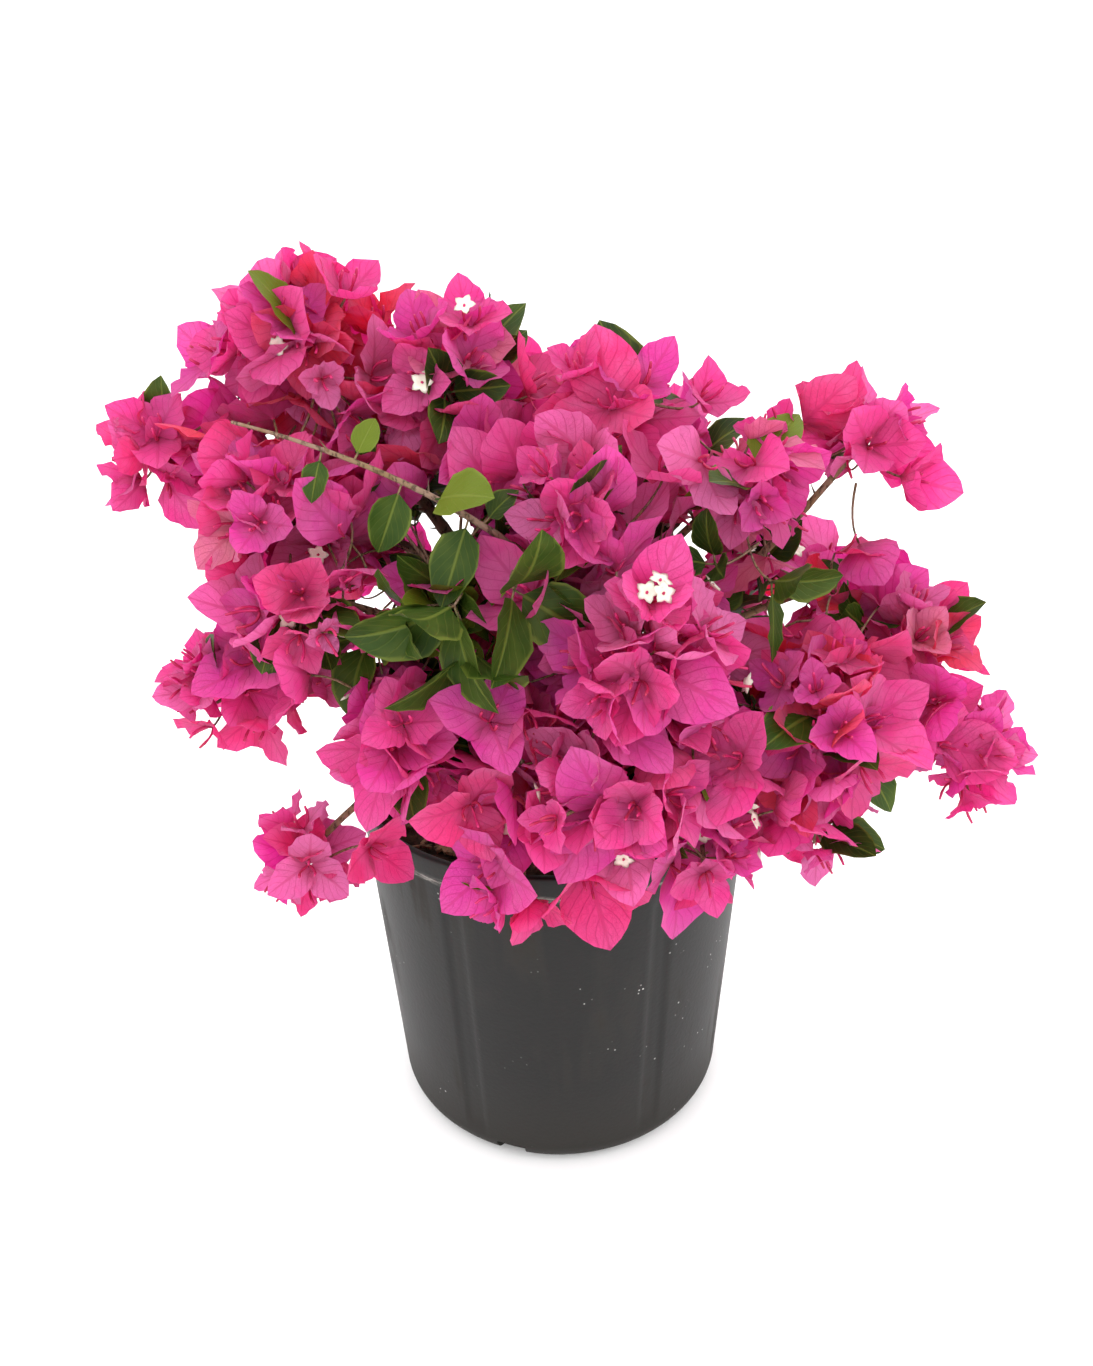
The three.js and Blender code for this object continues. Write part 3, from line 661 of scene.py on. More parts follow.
def blade_samples(blade, lengthwise=12, crosswise=5):
    """An even grid of points on a blade."""
    u, v = np.meshgrid(
        np.arange(lengthwise + 1) / lengthwise,
        np.arange(-crosswise, crosswise + 1) / crosswise,
        indexing="ij",
    )
    return blade.point(u, v).reshape(-1, 3)


def outline_of(blade, clearance=0.0):
    """Lines and flat triangles that stand for a blade when it is tested for crossing."""
    lengthwise = np.array([clearance, BLADE_WIDEST, 1, BLADE_WIDEST])
    crosswise = np.array([0, 1, 0, -1])
    root, left, tip, right = blade.point(lengthwise, crosswise)
    lines = [(root, tip), (root, left), (root, right), (left, tip), (right, tip)]
    sheets = [(root, left, tip), (root, tip, right)]
    return lines, sheets


def any_cut(lines, sheets):
    """Whether any line cuts any triangle, by solving for where the line meets each triangle's plane."""
    if not lines or not sheets:
        return False
    ends = np.array(lines)
    corners = np.array(sheets)
    run = (ends[:, 1] - ends[:, 0])[:, None]
    first = (corners[:, 1] - corners[:, 0])[None]
    second = (corners[:, 2] - corners[:, 0])[None]
    square = np.cross(run, second)
    scale = (first * square).sum(-1)
    flat = np.abs(scale) < 1e-9
    scale = np.where(flat, 1, scale)
    offset = ends[:, 0][:, None] - corners[:, 0][None]
    u = (offset * square).sum(-1) / scale
    turned = np.cross(offset, np.broadcast_to(first, offset.shape))
    v = (run * turned).sum(-1) / scale
    along = (second * turned).sum(-1) / scale
    inside = (u >= 0) & (v >= 0) & (u + v <= 1) & (along >= 0) & (along <= 1)
    return bool((inside & ~flat).any())


def spray_direction(mass, item, attempt, count, key):
    """An even spiral from the outer pole of the mass, shaken by the seed."""
    outward = unit(mass.centre - CROWN_CORE)
    east, north = across(outward)
    shake = min(0.5, 0.15 + 0.04 * attempt) * (chance(mass.seed, key, attempt, 1) - 0.5)
    lift = max(-1.0, min(1.0, 1 - (1 - BACKMOST) * (item + 0.5) / count + shake))
    swing = min(2 * math.pi, 0.8 + 0.3 * attempt) * (chance(mass.seed, key, attempt, 2) - 0.5)
    turn = 2 * math.pi * chance(mass.seed, SPIN_KEY) + GOLDEN_ANGLE * item + swing
    level = math.sqrt(1 - lift * lift)
    return outward * lift + east * (level * math.cos(turn)) + north * (level * math.sin(turn))


def opening(draw):
    """The angle between a spray's axis and its blades."""
    return math.radians(BRACT_OPEN_LEAST + (BRACT_OPEN_MOST - BRACT_OPEN_LEAST) * draw(3))


def shaken(draw, channel):
    """Three draws as a vector, each from -0.5 to 0.5."""
    return np.array([draw(channel + way) - 0.5 for way in range(3)])


def whorl(node, axis, length, width_share, draw):
    """Three blades round a twig's tip, each opened from its axis and shaken by the draws."""
    opened = opening(draw)
    east, north = across(axis)
    blades = []
    for k in range(3):
        turn = 2 * math.pi * (draw(6) + k / 3) + WHORL_SHAKE * (draw(10 + k) - 0.5)
        lean = opened + WHORL_SHAKE * (draw(13 + k) - 0.5)
        radial = east * math.cos(turn) + north * math.sin(turn)
        along = axis * math.cos(lean) + radial * math.sin(lean)
        face = axis * math.sin(lean) - radial * math.cos(lean)
        blades.append(Blade(node, along, face, length, length * width_share))
    return blades


def nearest_twig(point, sprays):
    """The middle of the twig that passes nearest to a point."""
    middles = [(spray.root + spray.node) / 2 for spray in sprays]
    return min(middles, key=lambda middle: np.linalg.norm(point - middle))


def sprout_spray(mass, stem, item, attempt, others=None, count=None):
    """A twig with three blades round its tip. Given others, it is a finer one that leaves one of them."""
    fine = others is not None
    key = item + FINE_KEY if fine else item
    draw = partial(chance, mass.seed, key, attempt)
    shoot = (item + 1) * mass.shoots // mass.sprays > item * mass.shoots // mass.sprays
    if fine:
        shoot = chance(mass.seed, key, 40) < FINE_LEAFY_SHARE * (mass.shoots - 1) / mass.sprays
    outward = spray_direction(mass, item, attempt, count or mass.sprays, key)
    opened = opening(draw)
    size = 1 - BRACT_SHRINK * draw(4) - TRY_SHRINK * attempt
    length = (LEAF_LENGTH if shoot else min(BRACT_LENGTH, mass.reach * BRACT_SHARE_OF_REACH)) * size
    if fine:
        length *= FINE_SIZE
    across_tips = length * math.sin(opened)
    furthest = math.sqrt(max(0, mass.reach**2 - across_tips**2)) - length * math.cos(opened)
    depth = SPRAY_DEPTH_LEAST + SPRAY_DEPTH_SPREAD * draw(5)
    if fine:
        depth = FINE_DEPTH_LEAST + (FINE_DEPTH_MOST - FINE_DEPTH_LEAST) * draw(5)
    distance = max(0, furthest) * depth
    node = mass.centre + outward * distance
    start, hub = stem
    run = hub - start
    root = start + run * min(1.0, max(TWIG_ROOT_LEAST, (node - start) @ run / (run @ run)))
    axis = unit(outward + TOWARDS_LIGHT)
    if fine:
        root = nearest_twig(node, others)
        axis = unit(axis + FINE_WOBBLE * shaken(draw, 30))
    width_share = SOLID_LEAF_WIDTH_SHARE if shoot else SOLID_BRACT_WIDTH_SHARE
    blades = whorl(node, axis, length, width_share, draw)
    straight = unit(node - root) @ axis
    fits = (fine or distance >= SHORTEST_TWIG) and straight >= (0 if fine else TWIG_TO_AXIS_LEAST)
    return Spray(root, node, axis, blades, shoot, fits, (mass.seed, key))


def lies_in(places, points):
    """Whether any of the points lies in any of the round places."""
    return any((np.linalg.norm(points - centre, axis=-1) < reach).any() for centre, reach in places)


def tip_of(blade):
    """Where a blade ends."""
    return blade.root + blade.along * blade.length


def tips_of(spray):
    """Where a spray's twig and its blades end."""
    return np.array([spray.node, *(tip_of(blade) for blade in spray.blades)])


def hides_sky(blade):
    """Whether a blade ends in an open place, or stands in a line of sight along which sky shows."""
    points = blade_samples(blade, 4, 1)
    eye = np.array(CAMERA_PLACE) / MM
    for point, reach in OPEN_LINES:
        sight = unit(np.array(point) - eye)
        if (np.linalg.norm(np.cross(points - eye, sight), axis=1) < reach).any():
            return True
    return lies_in(OPEN_PLACES, tip_of(blade))


def loose_length(shoot, draw):
    """The length of the blades of a finer spray outside the rule of the solids."""
    return (LEAF_LENGTH if shoot else BRACT_LENGTH) * FINE_SIZE * (1 - BRACT_SHRINK * draw(5))


def sprout_beside(mass, bough, item):
    """A spray on a short side twig of a bough, most often leafy near the bough's foot."""
    key = SIDE_KEY + item
    draw = partial(chance, mass.seed, key)
    along = min(1.0, (item + 0.5 + 0.6 * (draw(1) - 0.5)) * SIDE_SPRAY_STEP / bough.length())
    root = bough.point(along)
    way = unit(bough.point(along + 0.02) - root)
    east, north = across(way)
    turn = GOLDEN_ANGLE * item + 2 * math.pi * chance(mass.seed, SIDE_SPIN_KEY)
    outward = unit(root - CROWN_CORE)
    axis = unit(east * math.cos(turn) + north * math.sin(turn) + 0.5 * way + 0.5 * outward)
    node = root + axis * (SIDE_TWIG_LEAST + SIDE_TWIG_SPREAD * draw(2))
    shoot = draw(4) < SIDE_LEAFY_SHARE * (1 - along)
    blades = whorl(node, axis, loose_length(shoot, draw), 1.0, draw)
    return Spray(root, node, axis, blades, shoot, SIDE_SPRAYS_FROM <= along < 1, (mass.seed, key))


def sprout_between(mass, others, item, attempt):
    """A spray towards the neighbours of a mass, on a long twig from the nearest of its sprays."""
    key = BETWEEN_KEY + item * FINE_TRIES + attempt
    draw = partial(chance, mass.seed, key)
    way = unit(shaken(draw, 20))
    node = mass.centre + way * mass.reach * (BETWEEN_LEAST + (BETWEEN_MOST - BETWEEN_LEAST) * draw(23))
    root = nearest_twig(node, others)
    axis = unit(unit(node - root) + 0.6 * unit(node - CROWN_CORE) + BETWEEN_WOBBLE * shaken(draw, 30))
    shoot = draw(40) < BETWEEN_LEAFY_LEAST + BETWEEN_LEAFY_SHARE * (mass.shoots - 1) / mass.sprays
    blades = whorl(node, axis, loose_length(shoot, draw), 1.0, draw)
    return Spray(root, node, axis, blades, shoot, unit(node - root) @ axis > 0, (mass.seed, key))


def sprout_leaf(mass, sprays, item, attempt):
    """A green leaf part of the way up a spray's twig, with its face to the sky and the light."""
    draw = partial(chance, mass.seed, item, attempt)
    spray = sprays[math.floor(draw(1) * len(sprays))]
    root = spray.root + (spray.node - spray.root) * (LEAF_ROOT_LEAST + LEAF_ROOT_SPREAD * draw(2))
    twig = unit(spray.node - spray.root)
    east, north = across(twig)
    turn = 2 * math.pi * draw(3)
    along = twig * 0.35 + east * math.cos(turn) + north * math.sin(turn)
    along = unit(along + 0.35 * unit(root - mass.centre))
    face = unit(LEAF_SKY - along * (LEAF_SKY @ along))
    size = LEAF_SMALLEST + (1 - LEAF_SMALLEST) * draw(4) - LEAF_TRY_SHRINK * attempt
    length = LEAF_LENGTH * size
    return Blade(root, along, face, length, length * SOLID_LEAF_WIDTH_SHARE)


def first_fitting(tries, fits):
    """The first of the tries that fits, as a list, or an empty list."""
    return next(([found] for found in tries if fits(found)), [])


def grow_mass(mass, masses, limbs, pieces, fine_sprays, fine_leaves):
    """The solids' sprays and leaves: the first attempt at each that finds room is kept. Then finer ones."""
    has_room = room_of(mass, masses, pieces)
    bough = limbs["bough_" + mass.name]
    start = bough.end + unit(bough.end - bough.middle) * GAP
    hub = mass.centre + (start - mass.centre) * HUB_SHARE
    grown = Growth(mass, (start, hub))
    lines = [(start, hub)]
    sheets = []
    steps = np.arange(9)[:, None] / 8

    def spray_fits(spray):
        """Whether a spray keeps clear of all that has grown, which then takes it in."""
        if not spray.fits:
            return False
        if any(np.linalg.norm(other.node - spray.node) < SPRAY_SPACING for other in grown.sprays):
            return False
        if not has_room(spray.root + (spray.node - spray.root) * steps, TWIG_MARGIN):
            return False
        if not all(has_room(blade_samples(blade), LIMB_MARGIN) for blade in spray.blades):
            return False
        outlines = [outline_of(blade) for blade in spray.blades]
        fresh_lines = [line for outline in outlines for line in outline[0]]
        fresh_sheets = [sheet for outline in outlines for sheet in outline[1]]
        if any_cut([(spray.root, spray.node)], sheets):
            return False
        if any_cut(fresh_lines, sheets) or any_cut(lines, fresh_sheets):
            return False
        lines.extend([*fresh_lines, (spray.root, spray.node)])
        sheets.extend(fresh_sheets)
        return True

    def leaf_fits(leaf):
        """The same for a loose leaf, leaving out the stalk at its foot."""
        if not has_room(blade_samples(leaf), LIMB_MARGIN):
            return False
        fresh_lines, fresh_sheets = outline_of(leaf, LEAF_STALK / leaf.length)
        if any_cut(fresh_lines, sheets) or any_cut(lines, fresh_sheets):
            return False
        lines.extend(fresh_lines)
        sheets.extend(fresh_sheets)
        return True

    for item in range(mass.sprays):
        tries = (sprout_spray(mass, grown.stem, item, attempt) for attempt in range(TRIES))
        grown.sprays.extend(first_fitting(tries, spray_fits))
    for item in range(LEAF_KEY, LEAF_KEY + mass.leaves):
        tries = (sprout_leaf(mass, grown.sprays, item, attempt) for attempt in range(TRIES))
        grown.leaves.extend(first_fitting(tries, leaf_fits))

    coarse = list(grown.sprays)
    count = round(fine_sprays * (mass.reach / USUAL_REACH) ** 2)

    def fine_fits(spray):
        """Whether a finer spray has room and crowds no other's tip."""
        if not spray.fits or too_near(spray, grown.sprays):
            return False
        return all(fine_leaf_fits(blade) for blade in spray.blades)

    def fine_leaf_fits(leaf):
        """Whether a finer blade has room, tried at fewer points."""
        return has_room(blade_samples(leaf, 4, 1), 1)

    for item in range(count):
        tries = (sprout_spray(mass, grown.stem, item, t, coarse, count) for t in range(FINE_TRIES))
        grown.sprays.extend(first_fitting(tries, fine_fits))
    leafy = FINE_LEAVES_LEAST + FINE_LEAVES_BY_SHOOTS * mass.shoots / mass.sprays
    leaf_count = round(fine_leaves * (mass.reach / USUAL_REACH) ** 2 * leafy)
    for item in range(FINE_LEAF_KEY, FINE_LEAF_KEY + leaf_count):
        tries = (sprout_leaf(mass, grown.sprays, item, t) for t in range(FINE_TRIES))
        grown.leaves.extend(first_fitting(tries, fine_leaf_fits))
    return grown


def too_near(spray, others):
    """Whether a finer spray's tip would crowd another's."""
    return any(np.linalg.norm(other.node - spray.node) < FINE_SPACING for other in others)


def crown_room(masses):
    """A test of whether a loose spray keeps to the crown: where the masses' soft spheres, each falling off
    by a power of e with the square of the way out, add up to enough, off the pot and out of open places."""
    centres = np.array([*(mass.centre for mass in masses), *(centre for centre, _ in FULL_PLACES)])
    reaches = np.array([*(mass.reach for mass in masses), *(reach for _, reach in FULL_PLACES)])

    def has_room(spray):
        """Whether the spray's tips all lie in the crown."""
        points = tips_of(spray)
        ways = ((points[:, None] - centres) ** 2).sum(-1) / reaches**2
        dense = np.exp(-DENSITY_FALL * ways).sum(-1) >= DENSITY_LEAST
        return off_pot(points) and bool(dense.all()) and not lies_in(OPEN_PLACES, points)

    return has_room


def fill_between(growths, masses, limbs, between_sprays):
    """Grows the sprays beside the boughs, and between the masses the roomiest of each round of tries."""
    has_room = crown_room(masses)
    everything = [spray for growth in growths for spray in growth.sprays]
    for growth in growths:
        mass = growth.mass
        coarse = growth.sprays[: mass.sprays]
        bough = limbs["bough_" + mass.name]
        side_count = 0 if mass.name in BARE_BOUGHS else int(bough.length() / SIDE_SPRAY_STEP)
        rounds = [[sprout_beside(mass, bough, item)] for item in range(side_count)]
        for item in range(round(between_sprays * (mass.reach / USUAL_REACH) ** 2)):
            rounds.append([sprout_between(mass, coarse, item, t) for t in range(FINE_TRIES)])
        for tries in rounds:
            fitting = [spray for spray in tries if spray.fits and has_room(spray)]
            nodes = np.array([other.node for other in everything])
            rooms = [np.linalg.norm(nodes - spray.node, axis=1).min() for spray in fitting]
            if rooms and max(rooms) >= FINE_SPACING:
                roomiest = fitting[int(np.argmax(rooms))]
                growth.sprays.append(roomiest)
                everything.append(roomiest)


def place_sprays(growths):
    """Adds the placed sprays, each on a twig of the nearest mass, and takes away those in their way."""
    for item, (place, axis, kind, size) in enumerate(PLACED_SPRAYS):
        node = np.array(place, float)
        way = unit(np.array(axis, float))
        for growth in growths:
            growth.sprays = [s for s in growth.sprays if np.linalg.norm(s.node - node) > PLACED_CLEARANCE]
        growth = min(growths, key=lambda each: np.linalg.norm(each.mass.centre - node))
        key = (growth.mass.seed, PLACED_KEY + item)
        leafy = kind == "leafy"
        length = (LEAF_LENGTH if leafy else BRACT_LENGTH) * size
        blades = whorl(node, way, length, 1.0, partial(chance, *key))
        root = nearest_twig(node, growth.sprays)
        growth.sprays.append(Spray(root, node, way, blades, leafy, True, key, kind == "open"))


def grow_front_cane(cane):
    """The leaves of the cane in front, which leave it to either side in turn and hang a little."""
    start = np.array(FRONT_CANE[0], float)
    mass = Mass("front_cane", start, 0, 0, 0, 0, FRONT_CANE_SEED, "", 0, start)
    grown = Growth(mass, None)
    for k in range(FRONT_CANE_LEAVES):
        draw = partial(chance, FRONT_CANE_SEED, FRONT_CANE_KEY, k)
        along = 0.06 + 0.72 * (k + 0.8 * draw(1)) / FRONT_CANE_LEAVES
        root = cane.point(along)
        way = unit(cane.point(along + 0.03) - root)
        side = unit(np.cross(way, (0, -1, 0.3))) * (1 if k % 2 else -1)
        lean = draw(2) - 0.5
        blade_way = unit(side + lean * way + np.array([0.8 * lean, -0.3 + lean, -0.5]))
        sky = np.array([0.9 * lean, -0.6, 0.9])
        face = unit(sky - blade_way * (sky @ blade_way))
        length = LEAF_LENGTH * (0.4 + 0.6 * draw(3))
        grown.leaves.append(Blade(root, blade_way, face, length, length))
    return grown


@lru_cache(maxsize=1)
def grow_bush(fine_sprays, between_sprays, fine_leaves):
    """The whole bush as it grows: its limbs by name, and what grows in each mass."""
    masses = plan_masses()
    limbs = plan_limbs(masses)
    pieces = limb_pieces(limbs)
    growths = [grow_mass(mass, masses, limbs, pieces, fine_sprays, fine_leaves) for mass in masses]
    fill_between(growths, masses, limbs, between_sprays)
    for growth in growths:
        growth.leaves = [leaf for leaf in growth.leaves if not hides_sky(leaf)]
        for spray in growth.sprays:
            spray.blades = [blade for blade in spray.blades if not hides_sky(blade)]
            spray.shoot = spray.shoot or lies_in(LEAFY_PLACES, spray.node)
        growth.sprays = [spray for spray in growth.sprays if spray.blades]
    place_sprays(growths)
    limbs["front_cane"] = Limb(*(np.array(point, float) for point in FRONT_CANE), *FRONT_CANE_RADII)
    growths.append(grow_front_cane(limbs["front_cane"]))
    return limbs, growths


def bush():
    """The bush by the sizes that are set, grown only when one of them has changed."""
    sizes = bpy.context.scene.bush_sizes
    return grow_bush(sizes.fine_sprays, sizes.between_sprays, sizes.fine_leaves)


# Meshes from arrays


def new_piece(name, points, faces, material, nodes=(), uvs=None, sharp_from=None):
    """A piece of the bush from its points in millimetres and its arrays of triangles and squares."""
    corners = np.concatenate([group.ravel() for group in faces])
    sizes = np.concatenate([np.full(len(group), group.shape[1]) for group in faces])
    mesh = bpy.data.meshes.new(name)
    mesh.vertices.add(len(points))
    mesh.vertices.foreach_set("co", (points * MM).astype(np.float32).ravel())
    mesh.loops.add(len(corners))
    mesh.loops.foreach_set("vertex_index", corners.astype(np.int32))
    mesh.polygons.add(len(sizes))
    mesh.polygons.foreach_set("loop_start", (np.cumsum(sizes) - sizes).astype(np.int32))
    if uvs is not None:
        layer = mesh.uv_layers.new(name="Blade")
        layer.data.foreach_set("uv", uvs[corners].astype(np.float32).ravel())
    mesh.update(calc_edges=True)
    mesh.shade_smooth()
    if sharp_from is not None:
        mesh.set_sharp_from_angle(angle=math.radians(sharp_from))
    mesh.materials.append(material)
    piece = bpy.data.objects.new(name, mesh)
    bpy.context.scene.collection.objects.link(piece)
    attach(piece, "root")
    if nodes:
        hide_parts(*nodes)
    return piece


def grid_faces(rows, columns):
    """The squares of a grid of points, which closes on itself from its last column to its first."""
    row, column = np.meshgrid(np.arange(rows - 1), np.arange(columns), indexing="ij")
    beside = (column + 1) % columns
    here = row * columns
    there = here + columns
    quads = np.stack([here + column, here + beside, there + beside, there + column], axis=-1)
    return quads.reshape(-1, 4)


def fan(first, count, hub, onward):
    """Triangles from a ring of points to its hub, which face on along the rings or back."""
    here = np.arange(count)
    near = first + here
    far = first + (here + 1) % count
    middle = np.full(count, hub)
    return np.stack([near, far, middle] if onward else [near, middle, far], axis=1)


def repeat_faces(faces, count, size):
    """The same faces for each of many like shapes that have the same number of points."""
    return (faces[None] + np.arange(count)[:, None, None] * size).reshape(-1, faces.shape[1])


def tubes(paths, radii, sides):
    """Closed round tubes. A point is its path's point plus its radius times a circle square to the path."""
    count, rings, _ = paths.shape
    tangent = unit(np.gradient(paths, axis=1))
    chord = unit(paths[:, -1] - paths[:, 0])
    spare, _ = across(chord)
    side = unit(spare[:, None] - tangent * (spare[:, None] * tangent).sum(-1, keepdims=True))
    depth = np.cross(tangent, side)
    turn = np.arange(sides) * 2 * np.pi / sides
    circle = side[:, :, None] * np.cos(turn)[:, None] + depth[:, :, None] * np.sin(turn)[:, None]
    radii = radii[..., None] if radii.ndim == 2 else radii
    walls = paths[:, :, None] + circle * radii[..., None]
    points = np.concatenate([walls.reshape(count, -1, 3), paths[:, :1], paths[:, -1:]], axis=1)
    size = rings * sides + 2
    ends = [fan(0, sides, size - 2, False), fan((rings - 1) * sides, sides, size - 1, True)]
    quads = repeat_faces(grid_faces(rings, sides), count, size)
    caps = repeat_faces(np.concatenate(ends), count, size)
    return points.reshape(-1, 3), [quads, caps]


def joined(parts):
    """Several sets of points and faces as one."""
    points = []
    faces = []
    total = 0
    for part_points, part_faces in parts:
        points.append(part_points)
        faces.extend(group + total for group in part_faces)
        total += len(part_points)
    return np.concatenate(points), faces


def curved_paths(starts, middles, ends, rings):
    """Quadratic curves from starts to ends, each drawn towards its middle."""
    along = np.linspace(0, 1, rings)[None, :, None]
    spare = 1 - along
    return spare**2 * starts[:, None] + 2 * along * spare * middles[:, None] + along**2 * ends[:, None]


def blade_outline(lengthwise, fullness, point):
    """Half a blade's width along it: a power of the way from its root times one of the way to its tip."""
    peak = fullness / (fullness + point)
    most = peak**fullness * (1 - peak) ** point
    return lengthwise**fullness * (1 - lengthwise) ** point / most


def blades_mesh(blades, keys, look, width_share):
    """Thin closed blades of 48 squares and 16 triangles. The face is the outline's width across and its
    length along, bowed along the midrib by a parabola, cupped by the square of the way across, and waved
    at its edge by a sine."""
    count = len(blades)
    root = np.array([blade.root for blade in blades])
    along = np.array([blade.along for blade in blades])
    face = np.array([blade.face for blade in blades])
    length = np.array([blade.length for blade in blades])
    seeds = np.array(keys)
    draw = [chances(*seeds.T, BLADE_DRAW_KEY + channel) for channel in range(6)]
    side = np.cross(along, face)
    stalk = look["stalk"]
    root = root + along * stalk
    length = (length - stalk) * look["share"] * (1 - look["shrink"] * draw[5])

    u = np.linspace(0, 1, BLADE_STATIONS + 2)[1:-1] ** 0.9
    v = np.linspace(-1, 1, BLADE_COLUMNS)
    u, v = np.meshgrid(u, v, indexing="ij")

    def spread(value):
        """One value for each blade, in the shape of the blades' grids."""
        return value[:, None, None]

    half = length * width_share * (0.92 + 0.16 * draw[0]) / 2
    width = spread(half) * blade_outline(u, look["fullness"], look["point"])
    bow = spread(length * (look["bow"] + look["bow_spread"] * (draw[1] - 0.5))) * 4 * u * (1 - u)
    cup = width * v**2 * spread(look["cup"] + look["cup_spread"] * (draw[2] - 0.5))
    ripple = np.sin(2 * np.pi * (spread(2 + draw[3]) * u + spread(draw[4])) + v * 1.5)
    wave = look["wave"] * ripple * np.abs(v) ** 2 * np.sin(np.pi * u)
    lift = bow + cup + wave
    middle = root[:, None, None] + along[:, None, None] * (spread(length) * u)[..., None]
    middle = middle + side[:, None, None] * (width * v)[..., None]
    thickness = look["thickness"] * (1 - v**2)
    upper = middle + face[:, None, None] * (lift + thickness / 2)[..., None]
    under = middle + face[:, None, None] * (lift - thickness / 2)[..., None]
    tip = root + along * length[:, None]

    stations = BLADE_STATIONS
    inner = BLADE_COLUMNS - 2
    points = np.concatenate(
        [upper.reshape(count, -1, 3), under[:, :, 1:-1].reshape(count, -1, 3), root[:, None], tip[:, None]],
        axis=1,
    )
    size = points.shape[1]
    top = np.arange(stations * BLADE_COLUMNS).reshape(stations, BLADE_COLUMNS)
    low = top.copy()
    low[:, 1:-1] = stations * BLADE_COLUMNS + np.arange(stations * inner).reshape(stations, inner)
    quads = []
    caps = []
    for sheet, upward in ((top, True), (low, False)):
        square = np.stack([sheet[:-1, :-1], sheet[:-1, 1:], sheet[1:, 1:], sheet[1:, :-1]], axis=-1)
        foot = np.stack([np.full(inner + 1, size - 2), sheet[0, 1:], sheet[0, :-1]], axis=1)
        head = np.stack([np.full(inner + 1, size - 1), sheet[-1, :-1], sheet[-1, 1:]], axis=1)
        square = square.reshape(-1, 4)
        fans = np.concatenate([foot, head])
        quads.append(square if upward else square[:, ::-1])
        caps.append(fans if upward else fans[:, ::-1])
    quads = np.concatenate(quads)
    caps = np.concatenate(caps)
    flat = np.stack([u, (v + 1) / 2], axis=-1)
    own = np.concatenate([flat.reshape(-1, 2), flat[:, 1:-1].reshape(-1, 2), [[0, 0.5], [1, 0.5]]])
    faces = [repeat_faces(quads, count, size), repeat_faces(caps, count, size)]
    return points.reshape(-1, 3), faces, np.tile(own, (count, 1))


# Materials


def socket(tree, target, value):
    """Links a node's output to a socket, or sets the socket's own value, a colour by its three parts."""
    if isinstance(value, bpy.types.NodeSocket):
        tree.links.new(value, target)
    elif target.type == "RGBA":
        target.default_value = (*value, 1)
    else:
        target.default_value = value


def add(tree, kind, inputs=None, **settings):
    """A new node with its settings and inputs, which are given by name or by number."""
    node = tree.nodes.new(kind)
    for name, value in settings.items():
        setattr(node, name, value)
    for name, value in (inputs or {}).items():
        socket(tree, node.inputs[name], value)
    return node


def calc(tree, operation, first, second=0.0, third=0.0):
    """A sum, product or the like of up to three values."""
    inputs = {0: first, 1: second, 2: third}
    return add(tree, "ShaderNodeMath", inputs, operation=operation).outputs[0]


def ramp(tree, value, low, high, start=0.0, end=1.0):
    """A smooth change from start to end while the value goes from low to high."""
    inputs = {"Value": value, "From Min": low, "From Max": high, "To Min": start, "To Max": end}
    node = add(tree, "ShaderNodeMapRange", inputs, interpolation_type="SMOOTHSTEP")
    return node.outputs["Result"]


def blend_colours(tree, share, first, second):
    """The first colour with a share of the second, the inputs being numbered as this node has them."""
    node = add(tree, "ShaderNodeMix", data_type="RGBA", blend_type="MIX")
    socket(tree, node.inputs[0], share)
    socket(tree, node.inputs[6], first)
    socket(tree, node.inputs[7], second)
    return node.outputs[2]


def noise(tree, place, scale, detail=3.0, roughness=0.5):
    """Cloudy values about one half."""
    inputs = {"Vector": place, "Scale": scale, "Detail": detail, "Roughness": roughness}
    return add(tree, "ShaderNodeTexNoise", inputs).outputs["Fac"]


def bump(tree, height, distance, strength):
    """Relief in the light only, where a height of 1 stands for the distance in metres."""
    inputs = {"Height": height, "Distance": distance, "Strength": strength}
    return add(tree, "ShaderNodeBump", inputs).outputs["Normal"]


def start_material(name):
    """A material with nothing in it but its output, and the node that gives places on the piece."""
    material = bpy.data.materials.new(name)
    material.use_nodes = True
    tree = material.node_tree
    tree.nodes.clear()
    output = add(tree, "ShaderNodeOutputMaterial")
    place = add(tree, "ShaderNodeTexCoord")
    return material, tree, output, place


def finish_surface(tree, output, inputs, through=None, share=0.0):
    """The surface, with a share of the light going through it in the colour named."""
    surface = add(tree, "ShaderNodeBsdfPrincipled", inputs).outputs[0]
    if through is not None:
        glow = add(tree, "ShaderNodeBsdfTranslucent", {"Color": through}).outputs[0]
        mix = add(tree, "ShaderNodeMixShader", {0: share})
        tree.links.new(surface, mix.inputs[1])
        tree.links.new(glow, mix.inputs[2])
        surface = mix.outputs[0]
    tree.links.new(surface, output.inputs["Surface"])


def vein_marks(tree, place, slant, width):
    """A blade's way along and way off its midrib, and how strongly its midrib and side veins show there."""
    parts = add(tree, "ShaderNodeSeparateXYZ", {0: place.outputs["UV"]})
    lengthwise = parts.outputs["X"]
    off_midrib = calc(tree, "ABSOLUTE", calc(tree, "MULTIPLY_ADD", parts.outputs["Y"], 2.0, -1.0))
    midrib = ramp(tree, off_midrib, 0.03, 0.1, 1.0, 0.0)
    swept = calc(tree, "MULTIPLY_ADD", off_midrib, -slant, lengthwise)
    cycle = calc(tree, "FRACT", calc(tree, "MULTIPLY", swept, VEIN_PAIRS))
    from_vein = calc(tree, "ABSOLUTE", calc(tree, "SUBTRACT", cycle, 0.5))
    side = ramp(tree, from_vein, 0.0, width, 1.0, 0.0)
    return lengthwise, off_midrib, midrib, side


